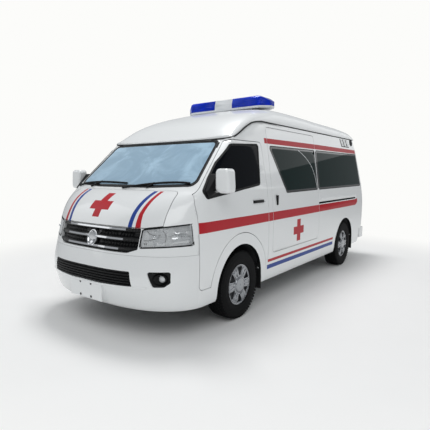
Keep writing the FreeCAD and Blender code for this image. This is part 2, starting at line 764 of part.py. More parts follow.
def bowl(body, centre_shares, radius, depth):
    """Reflector bowl open to the front: the solid bowl and the hollow inside it."""
    x = centre_shares[0] * half_width
    z = centre_shares[1] * body_height
    middle = body.mesh_core.common(rod_y(sharp_radius, -body_length, 0, x, z))
    y = middle.BoundBox.YMin
    cup = []
    for grow in (bowl_wall, 0.0):
        tube = rod_y(radius + grow, -body_length, y + depth / 2 + grow, x, z)
        dome = Part.makeCone(radius + grow, radius / 3 + grow, depth / 2, V(x, y + depth / 2 + grow, z), V(0, 1, 0))
        cup.append(tube.fuse(dome))
    return body.mesh_core.common(cup[0]).cut(cup[1]), cup[1]


def front_lamps(body):
    """Headlamps with a rim, two reflector bowls and dividing ribs behind a clear lens, and fog lamps."""
    nose_y = nose_share * half_length
    lamp = headlamp_zone(-seat_gap)
    clear = headlamp_zone(-seat_gap - lamp_rim)
    lens = body.pane(headlamp_zone(-seat_gap * 2 - lamp_rim))
    write("headlamp_lenses", lens, mirrored(lens))
    rim = body.front_layer(lamp).cut(clear)
    plate = body.back(lamp)
    x, z = lamp_rib_shares[0] * half_width, lamp_rib_shares[1] * body_height
    upright = box(x, x + rib_thickness, -body_length, nose_y, 0, body_height)
    shelf = box(x, half_width, -body_length, nose_y, z, z + rib_thickness)
    ribs = body.middle_layer(lamp).common(upright.fuse(shelf))
    bowls, hollows = zip(bowl(body, low_bowl_shares, low_bowl_radius, bowl_depth),
                         bowl(body, side_bowl_shares, side_bowl_radius, bowl_depth / 2))
    housing = plate.cut(hollows).fuse([rim, ribs] + list(bowls))
    write("headlamps", housing, mirrored(housing))

    x, z = fog_centre_shares[0] * half_width, fog_centre_shares[1] * body_height
    bezel = body.glass_core.common(front_prism(fog_shares, -body_length, nose_y, -seat_gap, fog_corner))
    recess = rod_y(fog_recess_radius, -body_length, 0, x, z).cut(body.mesh_core)
    ring = rod_y(fog_radius, -body_length, 0, x, z).cut(rod_y(fog_radius - fog_ring_wall, -body_length, 0, x, z))
    fog = bezel.cut([recess, body.inner]).fuse(body.middle_layer(ring))
    write("fog_lamps", fog, mirrored(fog))


def door_fittings(body):
    """Handles and mirrors of the front doors, and the sliding door's latch handle."""
    y = handle_shares[0] * half_length
    z = handle_shares[1] * body_height
    x = pick(nose_shares, handle_shares[1], 3) * half_width
    grip = box(x - wall / 2, x + handle_reach, y - handle_length / 2, y + handle_length / 2,
               z - handle_height / 2, z + handle_height / 2)
    ends = [edge for edge in grip.Edges if edge.Length > handle_length - 1 or edge.Length < handle_height + 1]
    grip = grip.makeFillet(handle_height / 3, ends).cut(body.outer)
    write("door_handle_left", grip)
    write("door_handle_right", mirrored(grip))

    y = latch_shares[0] * half_length
    z = latch_shares[1] * body_height
    latch = box(x - wall / 2, x + handle_reach, y - latch_width / 2, y + latch_width / 2,
                z - latch_height / 2, z + latch_height / 2)
    latch = latch.makeFillet(latch_width / 4, latch.Edges)
    write("sliding_door_handle", latch.cut(body.outer))

    shell_x = half_width + mirror_gap
    rear_y = mirror_y + mirror_depth / 2
    outline = rounded_wire([V(shell_x + x_share * mirror_width, rear_y, mirror_low_z + z_share * mirror_height)
                            for x_share, z_share in mirror_head_shares], mirror_round)
    head = prism(outline, V(0, -mirror_depth, 0))
    for plane_y, radius in ((rear_y - mirror_depth, mirror_front_round), (rear_y, mirror_rear_round)):
        rim = [edge for edge in head.Edges if abs(edge.BoundBox.YMin - plane_y) + abs(edge.BoundBox.YMax - plane_y) < 1]
        head = head.makeFillet(radius, rim)
    foot = side_prism(mirror_foot_shares, half_width / 2, half_width - wall / 4, 0.0, mirror_depth / 6)
    arm = rod(V(half_width - wall * 2, mirror_y, mirror_low_z + mirror_arm_radius),
              V(shell_x + mirror_width / 2, mirror_y, mirror_low_z + mirror_arm_radius * 1.5), mirror_arm_radius)
    left = largest(head.fuse([foot, arm]).cut(body.outer))
    write("mirror_left", left)
    write("mirror_right", mirrored(left))


def bar_form(inset, low):
    """Light bar's closed form above a height: bevelled ends from above, sloped shoulders from the front and the side."""
    x = bar_half_length - inset
    y = bar_half_depth - inset
    nose = y * bar_nose_share
    high = bar_base_z + bar_base_thickness + seat_gap + bar_lens_height - inset
    shoulder = bar_base_z + bar_base_thickness + bar_lens_height * bar_shoulder_share
    foot = bar_base_z - overrun
    flank = x - bar_bevel
    ring = [(x, -nose), (x, nose), (flank, y), (-flank, y), (-x, nose), (-x, -nose), (-flank, -y), (flank, -y)]
    plan = rounded_wire([V(a, bar_y + b, low) for a, b in ring], bar_corner)
    front = rounded_wire([V(a, bar_y - bar_half_depth - overrun, z) for a, z in (
        (-x, foot), (-x, shoulder), (-x + bar_end_slope, high), (x - bar_end_slope, high), (x, shoulder), (x, foot))],
        bar_corner)
    side = rounded_wire([V(-bar_half_length - overrun, bar_y + b, z) for b, z in (
        (-y, foot), (-y, shoulder), (-y + bar_shoulder, high), (y - bar_shoulder, high), (y, shoulder), (y, foot))],
        bar_corner / 2)
    form = prism(plan, V(0, 0, body_height))
    form = form.common(prism(front, V(0, (bar_half_depth + overrun) * 2, 0)))
    return form.common(prism(side, V((bar_half_length + overrun) * 2, 0, 0)))


def roof_pieces(body):
    """Roof cap and the light bar on it, with a plain middle and a hollow lens at each end."""
    solid_cap = roof_form(0.0)
    cap = solid_cap.common(header_column()).cut(under_gutter(0.0))
    write("roof", cap.cut(roof_form(roof_wall)))

    wide = body_width * 2
    top = bar_base_z + bar_base_thickness
    lens_low = top + seat_gap
    base = bar_form(0.0, bar_base_z).common(box(-wide, wide, -wide, wide, bar_base_z, top))
    feet = [box(side * bar_foot_x - bar_foot, side * bar_foot_x + bar_foot, bar_y - bar_half_depth / 2,
                bar_y + bar_half_depth / 2, bar_base_z - bar_half_depth, bar_base_z) for side in (-1, 1)]
    middle = bar_form(0.0, top).common(box(-bar_centre_half, bar_centre_half, -wide, wide, top, body_height * 2))
    write("light_bar", base.fuse([middle] + feet).cut(solid_cap))
    lenses = []
    inner_x = bar_centre_half + seat_gap
    for side in (-1, 1):
        outer = bar_form(0.0, lens_low).common(box(min(side * inner_x, side * wide), max(side * inner_x, side * wide),
                                                   -wide, wide, lens_low, body_height * 2))
        near = inner_x + bar_lens_wall
        hollow = bar_form(bar_lens_wall, lens_low - overrun).common(
            box(min(side * near, side * wide), max(side * near, side * wide), -wide, wide, 0, body_height * 2))
        lenses.append(outer.cut(hollow))
    write("light_bar_lenses", *lenses)


def rear_bumper_piece():
    """Rear bumper wrapped round the body's rear corners."""
    x = half_width - seat_gap
    y = half_length
    low = rear_bumper_low
    points = [V(-x, rear_bumper_front_y, low), V(-x, y - rear_bumper_corner / 2, low), V(-x + rear_bumper_corner, y, low),
              V(x - rear_bumper_corner, y, low), V(x, y - rear_bumper_corner / 2, low), V(x, rear_bumper_front_y, low)]
    outer = prism(rounded_wire(points, rear_bumper_corner / 2), V(0, 0, rear_bumper_high - low))
    inner = box(-x + rear_bumper_wall, x - rear_bumper_wall, -body_length, y - rear_bumper_wall * 2, 0, body_height)
    write("rear_bumper", outer.cut(inner))


# Wheels and running gear

def tyre(centre):
    """Tyre with round shoulders and flat facets round its axle."""
    half = tyre_width / 2
    bead = rim_radius + seat_gap
    points = [(across * half, bead + (tyre_radius - bead) * up) for across, up in tyre_shares]
    return faceted_ring(points, tyre_facets, centre)


def wheel():
    """Left wheel at the origin: rim barrel, disc, hub and the cover with its openings and ribs."""
    half = tyre_width / 2
    edge = rim_radius - rim_wall / 2
    inner_x, outer_x = [share * half for share in barrel_shares]
    barrel = turned_profile([(inner_x, rim_radius - rim_wall), (inner_x, rim_radius), (outer_x, rim_radius),
                             (outer_x, rim_radius - rim_wall)], V(0, 0, 0))
    disc_face = disc_offset + disc_thickness
    disc = turned_profile([(disc_offset, hub_bore_radius), (disc_offset, edge), (disc_face, edge),
                           (disc_face, hub_bore_radius)], V(0, 0, 0))
    hub = turned_profile([(-hub_length / 2, hub_bore_radius), (-hub_length / 2, hub_radius), (disc_face, hub_radius),
                          (disc_face, hub_bore_radius)], V(0, 0, 0))
    face = half * cover_face_share
    outline = [(disc_face - seat_gap, 0.0), (disc_face - seat_gap, hub_radius), (face - cover_thickness, edge)]
    outline += [(face + rise * cover_thickness, r * rim_radius) for r, rise in cover_shares]
    cover = turned_profile(outline, V(0, 0, 0))
    (inner_share, inner_half), (outer_share, outer_half) = cover_window_shares
    inner_r = rim_radius * inner_share
    outer_r = rim_radius * outer_share
    points = [V(0, -inner_r * inner_half, inner_r), V(0, inner_r * inner_half, inner_r),
              V(0, outer_r * outer_half, outer_r), V(0, -outer_r * outer_half, outer_r)]
    windows = []
    ribs = []
    step = 360.0 / spoke_count
    for i in range(spoke_count):
        window = prism(rounded_wire(points, cover_thickness), V(tyre_width, 0, 0))
        window.translate(V(disc_face + seat_gap, 0, 0))
        window.rotate(V(0, 0, 0), V(1, 0, 0), step * i)
        windows.append(window)
        for turn in (-rib_turn, rib_turn):
            rib = box(face - cover_thickness / 2, face + cover_thickness * rib_rise_share, -rib_half_width,
                      rib_half_width, rim_radius * rib_shares[0], rim_radius * rib_shares[1])
            rib.rotate(V(0, 0, 0), V(1, 0, 0), step * (i + 1 / 2) + turn)
            ribs.append(rib)
    return barrel.fuse([disc, hub, cover.cut(windows)] + ribs)


def wheels():
    """Four tyres and four wheels."""
    left = wheel()
    for end, y in (("front", front_axle_y), ("rear", rear_axle_y)):
        for name, side in (("left", 1), ("right", -1)):
            centre = V(side * wheel_x, y, tyre_radius)
            write("tyre_" + end + "_" + name, tyre(centre))
            placed = left.copy() if side > 0 else mirrored(left)
            placed.translate(centre)
            write("wheel_" + end + "_" + name, placed)


def spindle_reach():
    """How far out the axle spindles reach, just inside the wheel covers."""
    return wheel_x + disc_offset + disc_thickness - wheel_gap * 4


def knuckle():
    """Left steering knuckle: kingpin post, backplate and spindle."""
    low = lower_arm_z + arm_thickness + seat_gap
    high = rail_low() - seat_gap - arm_thickness - seat_gap
    post = Part.makeCylinder(kingpin_radius, high - low, V(kingpin_x, front_axle_y, low))
    plate_x = kingpin_x + kingpin_radius + plate_gap
    back = rod_x(backplate_radius, plate_x, plate_x + plate_thickness, front_axle_y, tyre_radius)
    pin = rod_x(hub_bore_radius - wheel_gap, kingpin_x, spindle_reach(), front_axle_y, tyre_radius)
    return post.fuse([back, pin])


def rail_low():
    """Height of the underside of the chassis rails."""
    return floor_top_z - floor_thickness - seat_gap - rail_height


def suspension_side():
    """Left lower and upper arms with the post that carries them."""
    low = box(arm_root_x, kingpin_x, front_axle_y - arm_width / 2, front_axle_y + arm_width / 2, lower_arm_z,
              lower_arm_z + arm_thickness)
    top_z = rail_low() - seat_gap
    top = box(arm_root_x, kingpin_x, front_axle_y - arm_width / 2, front_axle_y + arm_width / 2,
              top_z - arm_thickness, top_z)
    eyes = [Part.makeCylinder(arm_width / 2, arm_thickness, V(kingpin_x, front_axle_y, z))
            for z in (lower_arm_z, top_z - arm_thickness)]
    post = box(arm_root_x - arm_post, arm_root_x, front_axle_y - arm_post, front_axle_y + arm_post, lower_arm_z, top_z)
    return low.fuse([top, post] + eyes)


def running_gear(body):
    """Chassis rails, suspension, axles, engine block, propshaft, tank, exhaust and mud flaps."""
    for name, side in (("left", 1), ("right", -1)):
        write("knuckle_" + name, knuckle() if side > 0 else mirrored(knuckle()))
    arms = suspension_side()
    member = box(-arm_root_x, arm_root_x, front_axle_y - arm_post, front_axle_y + arm_post, lower_arm_z,
                 engine_low_z - seat_gap)
    write("front_suspension", arms.fuse([mirrored(arms), member]))

    low = rail_low()
    rails = [box(side * rail_x - rail_width / 2, side * rail_x + rail_width / 2, rail_front_y, rail_rear_y, low,
                 low + rail_height) for side in (-1, 1)]
    members = [box(-rail_x, rail_x, y - rail_width / 2, y + rail_width / 2, low + rail_height / 3, low + rail_height)
               for y in (rail_front_y + rail_width, engine_rear_y + rail_height, cross_member_share * half_length,
                         rail_rear_y - rail_width)]
    write("chassis_frame", rails[0].fuse([rails[1]] + members))

    engine = box(-engine_half_width, engine_half_width, engine_front_y, engine_rear_y, engine_low_z, engine_high_z)
    bevel = [edge for edge in engine.Edges if abs(edge.tangentAt(edge.FirstParameter).y) > 0.9]
    write("engine_block", engine.makeFillet(overrun / 2, bevel))

    tube = rod_x(axle_tube_radius, -kingpin_x, kingpin_x, rear_axle_y, tyre_radius)
    pins = rod_x(hub_bore_radius - wheel_gap, -spindle_reach(), spindle_reach(), rear_axle_y, tyre_radius)
    drums = [rod_x(backplate_radius, x, x + drum_width, rear_axle_y, tyre_radius)
             for x in (kingpin_x, -kingpin_x - drum_width)]
    housing = rod_x(diff_radius, -diff_half_width, diff_half_width, rear_axle_y, tyre_radius)
    housing = housing.makeChamfer(diff_half_width * bevel_share, housing.Edges)
    shaft = rod(V(0, engine_rear_y + seat_gap, (engine_low_z + engine_high_z) / 2 - shaft_radius * 3),
                V(0, rear_axle_y, tyre_radius), shaft_radius)
    trim = box(-overrun, overrun, engine_front_y, engine_rear_y + seat_gap, 0, body_height)
    write("rear_axle", tube.fuse([pins, housing, shaft.cut(trim)] + drums))

    springs = []
    for side in (-1, 1):
        x = side * spring_x - spring_width / 2
        top = tyre_radius - axle_tube_radius - seat_gap
        arc = [V(x, rear_axle_y - spring_half_length, top + spring_drop), V(x, rear_axle_y, top),
               V(x, rear_axle_y + spring_half_length, top + spring_drop)]
        lower = [p - V(0, 0, spring_thickness) for p in arc]
        wire = Part.Wire([Part.Arc(*arc).toShape(), Part.LineSegment(arc[2], lower[2]).toShape(),
                          Part.Arc(*reversed(lower)).toShape(), Part.LineSegment(lower[0], arc[0]).toShape()])
        leaf = prism(wire, V(spring_width, 0, 0))
        inner_x = side * (rail_x - rail_width / 2)
        outer_x = side * (spring_x + spring_width / 2)
        hangers = [box(min(inner_x, outer_x), max(inner_x, outer_x), y - spring_thickness / 2, y + spring_thickness / 2,
                       top + spring_drop - spring_thickness, low - seat_gap)
                   for y in (rear_axle_y - spring_half_length, rear_axle_y + spring_half_length)]
        springs.append(leaf.fuse(hangers))
    write("leaf_springs", *springs)

    tank = box(-tank_outer_x, -rail_x - rail_width / 2 - seat_gap, tank_front_y, tank_front_y + tank_length,
               tank_low_z, floor_top_z - floor_thickness - seat_gap)
    write("fuel_tank", tank.makeFillet(overrun / 2, [e for e in tank.Edges if e.Length > tank_length - 1]))

    z = pipe_z
    pipe = rod_y(pipe_radius, engine_rear_y, rail_rear_y, pipe_x, z)
    silencer = rod_y(silencer_radius, silencer_y, silencer_y + silencer_length, pipe_x, z)
    hooks = [Part.makeCylinder(pipe_radius / 3, floor_top_z - floor_thickness - seat_gap - z, V(pipe_x, y, z))
             for y in (silencer_y - overrun, rear_axle_y + spring_half_length)]
    write("exhaust", pipe.fuse([silencer] + hooks))

    flaps = []
    skirt_z = nose_shares[0][0] * body_height
    for y in (front_axle_y + arch_radius, rear_axle_y + arch_radius):
        sheet = box(flap_inner_x, half_width - door_clearance, y - flap_thickness - seat_gap, y - seat_gap, flap_low_z,
                    flap_high_z)
        low = sheet.common(box(0, body_width, -body_length, body_length, 0, skirt_z - seat_gap))
        neck = box(flap_inner_x, flap_inner_x + overrun, y - flap_thickness - seat_gap, y - seat_gap, flap_low_z,
                   flap_high_z)
        flap = low.fuse([sheet.common(body.room), neck]).removeSplitter()
        flaps += [flap, mirrored(flap)]
    write("mud_flaps", *flaps)


def wheelhouses():
    """Arched inner covers over the four wheels."""
    shells = []
    for axle_y, inner_x in ((front_axle_y, front_house_x), (rear_axle_y, rear_house_x)):
        outer_x = half_width - wall - seat_gap
        r = arch_radius - seat_gap
        full = rod_x(r, inner_x, outer_x, axle_y, tyre_radius)
        hollow = rod_x(r - house_thickness, inner_x + house_thickness, body_width, axle_y, tyre_radius)
        cover = full.cut([hollow, box(0, body_width, -body_length, body_length, -body_height, house_low_z)])
        shells += [cover, mirrored(cover)]
    write("wheelhouses", *shells)
    return shells


# Floor and inside

def floor_and_inside(body):
    """Floor, firewall, partition, dashboard, steering wheel, seats and bench."""
    slab_low = floor_top_z - floor_thickness
    firewall_y = firewall_share * half_length
    wide = half_width
    slab = box(-wide, wide, firewall_y, rear_floor_share * half_length, slab_low, floor_top_z)
    skin = half_width - wall
    cuts = [box(skin - overrun, wide, door_y - overrun, end_y + overrun, 0, body_height)
            for door_y, end_y in ((front_door_shares[0][0] * half_length, front_door_shares[-1][0] * half_length),
                                  (sliding_door_shares[0][0] * half_length, sliding_door_shares[-1][0] * half_length))]
    cuts.append(mirrored(cuts[0]))
    for axle_y, inner_x in ((front_axle_y, front_house_x), (rear_axle_y, rear_house_x)):
        cut = box(inner_x - seat_gap, body_width, axle_y - arch_radius, axle_y + arch_radius, 0, body_height)
        cuts += [cut, mirrored(cut)]
    hole = box(-engine_half_width - door_clearance, engine_half_width + door_clearance, engine_front_y - door_clearance,
               engine_rear_y + door_clearance, 0, body_height)
    floor = body.room.common(slab).cut(cuts + [hole])
    high = (nose_shares[-1][0] - firewall_drop_share) * body_height
    firewall = body.cabin.common(box(-wide, wide, firewall_y, firewall_y + panel_thickness, slab_low, high))
    write("floor_pan", floor.fuse(firewall))

    part_y = partition_share * half_length
    partition = body.room.common(box(-wide, wide, part_y - panel_thickness, part_y, floor_top_z + seat_gap,
                                gutter_share * body_height - overrun))
    window = front_prism(partition_window_shares, part_y - overrun, part_y + overrun)
    write("partition", partition.cut(window))

    dash = side_prism(dashboard_shares, -dash_half_width, dash_half_width, 0.0, dash_corner).common(body.cabin)
    dash = dash.cut(box(-wide, wide, -body_length, firewall_y + panel_thickness + seat_gap, 0, body_height))
    lean = math.radians(steering_tilt)
    normal = V(0, math.sin(lean), math.cos(lean))
    centre = V(driver_x, wheel_ring_y, wheel_ring_z)
    column = rod(centre - normal * (hub_height / 2 + wheel_gap), centre - normal * column_length, column_radius)
    write("dashboard", dash.fuse(column))

    ring = Part.makeTorus(wheel_ring_radius, wheel_ring_tube, centre, normal)
    boss = rod(centre - normal * (hub_height / 2), centre + normal * (hub_height / 2), column_radius * 1.3)
    across = V(1, 0, 0)
    along = normal.cross(across)
    spokes = []
    for turn in (0.0, 180.0, 270.0):
        way = across * math.cos(math.radians(turn)) + along * math.sin(math.radians(turn))
        spokes.append(rod(centre, centre + way * wheel_ring_radius, wheel_ring_tube * 0.8))
    write("steering_wheel", ring.fuse([boss] + spokes))

    top = seat_base_z
    plate = box(-seat_base_half, seat_base_half, seat_front_y, seat_front_y + seat_depth + seat_back_thickness,
                top - panel_thickness, top)
    front = box(-seat_base_half, seat_base_half, seat_front_y, seat_front_y + panel_thickness, floor_top_z + seat_gap, top)
    rear_edge = seat_front_y + seat_depth + seat_back_thickness
    rear = box(-seat_base_half, seat_base_half, rear_edge - panel_thickness, rear_edge, floor_top_z + seat_gap, top)
    house_cut = rod_x(arch_radius + seat_gap, front_house_x - seat_gap * 2, body_width, front_axle_y, tyre_radius)
    engine_cut = box(-engine_half_width - door_clearance, engine_half_width + door_clearance, -body_length, body_length,
                     0, engine_high_z + door_clearance)
    seat_frame = plate.fuse([front, rear]).cut([house_cut, mirrored(house_cut), engine_cut])
    cushions = []
    backs = []
    for x0, x1 in ((driver_x - seat_width / 2, driver_x + seat_width / 2), (passenger_x0, passenger_x1)):
        low = box(x0, x1, seat_front_y, seat_front_y + seat_depth, top + seat_gap, top + seat_gap + seat_thickness)
        back_y = seat_front_y + seat_depth + seat_gap
        back = box(x0, x1, back_y, back_y + seat_back_thickness, top + seat_gap, top + seat_back_height)
        cushions.append(low.makeFillet(seat_thickness / 4, low.Edges))
        backs.append(back.makeFillet(seat_back_thickness / 4, back.Edges))
    bench_x0 = -half_width + wall + overrun
    bench_x1 = bench_x0 + bench_depth
    bench_top = floor_top_z + bench_height
    front = box(bench_x1 - panel_thickness, bench_x1, bench_front_y, bench_rear_y, floor_top_z + seat_gap, bench_top)
    seat = box(bench_x0, bench_x1, bench_front_y, bench_rear_y, bench_top - panel_thickness, bench_top)
    house_cut = mirrored(rod_x(arch_radius + seat_gap, rear_house_x - seat_gap * 2, body_width, rear_axle_y, tyre_radius))
    write("seat_frames", seat_frame, front.fuse(seat).cut(house_cut))
    pad = box(bench_x0, bench_x1, bench_front_y, bench_rear_y, bench_top + seat_gap, bench_top + seat_gap + cushion_thickness)
    write("seats", *(cushions + backs + [pad.makeFillet(cushion_thickness / 3, pad.Edges)]))


def on_skin(body, x, y, lift):
    """Point above the body's skin at a place seen from above."""
    line = Part.makeLine(V(x, y, 0), V(x, y, body_height))
    return V(x, y, body.outer.common(line).BoundBox.ZMax + lift)


def wipers(body):
    """Two wipers lying on the windscreen's foot: each blade follows the glass, with its arm over it."""
    pieces = []
    for places in wiper_shares:
        pivot, tip, tail = [V(x * half_width, y * half_length, 0) for x, y in places]
        stops = [tail + (tip - tail) * (i / blade_steps) for i in range(blade_steps + 1)]
        line = [on_skin(body, p.x, p.y, blade_radius) for p in stops]
        blade = [rod(a, b, blade_radius) for a, b in zip(line, line[1:])]
        middle = line[blade_steps // 2] + V(0, 0, blade_radius)
        arm = rod(on_skin(body, pivot.x, pivot.y, wiper_radius), middle, wiper_radius)
        pieces.append(largest(arm.fuse(blade).cut(body.outer)))
    write("wipers", *pieces)


def build():
    """Make every piece and write it."""
    body = Body()
    body_panels(body)
    body_glass(body)
    grilles(body)
    front_lamps(body)
    door_fittings(body)
    roof_pieces(body)
    rear_bumper_piece()
    wheels()
    running_gear(body)
    wheelhouses()
    floor_and_inside(body)
    wipers(body)


if __name__ == "__main__":
    os.makedirs("parts", exist_ok=True)
    build()
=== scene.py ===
import json
import math

import bmesh
import bpy
from mathutils import Matrix, Vector
from mathutils.bvhtree import BVHTree


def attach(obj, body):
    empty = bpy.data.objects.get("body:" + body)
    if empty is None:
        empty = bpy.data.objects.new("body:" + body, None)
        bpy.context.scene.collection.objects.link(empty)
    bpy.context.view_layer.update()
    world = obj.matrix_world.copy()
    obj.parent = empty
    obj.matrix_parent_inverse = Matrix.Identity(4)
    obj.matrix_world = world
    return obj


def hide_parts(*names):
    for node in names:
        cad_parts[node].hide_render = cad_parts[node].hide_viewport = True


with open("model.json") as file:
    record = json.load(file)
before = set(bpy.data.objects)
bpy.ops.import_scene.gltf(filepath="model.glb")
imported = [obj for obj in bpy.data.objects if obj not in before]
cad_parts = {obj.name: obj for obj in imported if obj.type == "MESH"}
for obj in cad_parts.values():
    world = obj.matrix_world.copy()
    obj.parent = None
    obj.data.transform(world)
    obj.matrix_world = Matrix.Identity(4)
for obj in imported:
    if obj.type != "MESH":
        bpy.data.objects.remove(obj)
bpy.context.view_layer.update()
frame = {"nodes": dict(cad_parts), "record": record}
record = frame["record"]
body_of_node = {name: body for body, names in record["behaviour"]["bodies"].items() for name in names}

# Sizes in metres, each used by several pieces
half_width = 0.940
front_axle_y = -1.500
rear_axle_y = 1.610
wheel_x = 0.827
tyre_radius = 0.345
tyre_width = 0.195
arch_radius = 0.414
sides = (("left", 1), ("right", -1))

# The photograph's camera
camera_place = Vector((2.987, -4.911, 1.443))
camera_way = Vector((-0.61916, 0.77558, -0.12294))
camera_lens = 33.91
camera_shift = (0.0603, 0.0218)


# Colours and nodes

def colour(hex_value, alpha=1.0):
    """Linear colour of an sRGB hex value."""
    channels = [int(hex_value[i:i + 2], 16) / 255 for i in (1, 3, 5)]
    return (*[c / 12.92 if c <= 0.04045 else ((c + 0.055) / 1.055) ** 2.4 for c in channels], alpha)


def node(tree, kind, values=None, links=None, **settings):
    """Adds a node: settings are its properties, values its inputs' numbers, links what its inputs read."""
    made = tree.nodes.new(kind)
    for key, value in settings.items():
        setattr(made, key, value)
    for key, value in (values or {}).items():
        made.inputs[key].default_value = value
    for key, source in (links or {}).items():
        tree.links.new(source, made.inputs[key])
    return made


def surface(name, hex_value, roughness, **sockets):
    """Material with one shader. Keywords set its other sockets, with a low line for each space in a socket's name."""
    material = bpy.data.materials.new(name)
    material.use_nodes = True
    shader = material.node_tree.nodes["Principled BSDF"]
    shader.inputs["Base Color"].default_value = colour(hex_value)
    shader.inputs["Roughness"].default_value = roughness
    for key, value in sockets.items():
        shader.inputs[key.replace("_", " ")].default_value = value
    material.diffuse_color = colour(hex_value)
    return material


def pattern(tree, kind, values, **settings):
    """Output of a texture node in the piece's own coordinates, in metres."""
    place = node(tree, "ShaderNodeTexCoord")
    return node(tree, kind, values, {"Vector": place.outputs["Object"]}, **settings).outputs["Fac"]


def bumped(tree, height, strength, depth):
    """Lets a height raise the surface."""
    bump = node(tree, "ShaderNodeBump", {"Strength": strength, "Distance": depth}, {"Height": height})
    tree.links.new(bump.outputs["Normal"], tree.nodes["Principled BSDF"].inputs["Normal"])


def tinted(tree, share, low, high):
    """Lets a share choose between two colours."""
    mix = node(tree, "ShaderNodeMix", {"A": low, "B": high}, {"Factor": share}, data_type="RGBA")
    tree.links.new(mix.outputs["Result"], tree.nodes["Principled BSDF"].inputs["Base Color"])


def grain(material, size, strength, depth, tint=None, detail=4.0):
    """Adds a noise of a real size in metres to a material: bump of a depth, and roughness and tint that follow it."""
    tree = material.node_tree
    shader = tree.nodes["Principled BSDF"]
    noise = pattern(tree, "ShaderNodeTexNoise", {"Scale": 1.0 / size, "Detail": detail})
    bumped(tree, noise, strength, depth)
    base = shader.inputs["Roughness"].default_value
    spread = node(tree, "ShaderNodeMapRange", {"To Min": base * 0.8, "To Max": min(1.0, base * 1.25)}, {"Value": noise})
    tree.links.new(spread.outputs["Result"], shader.inputs["Roughness"])
    if tint:
        tinted(tree, noise, shader.inputs["Base Color"].default_value[:], colour(tint))


# Materials, each named for the real one

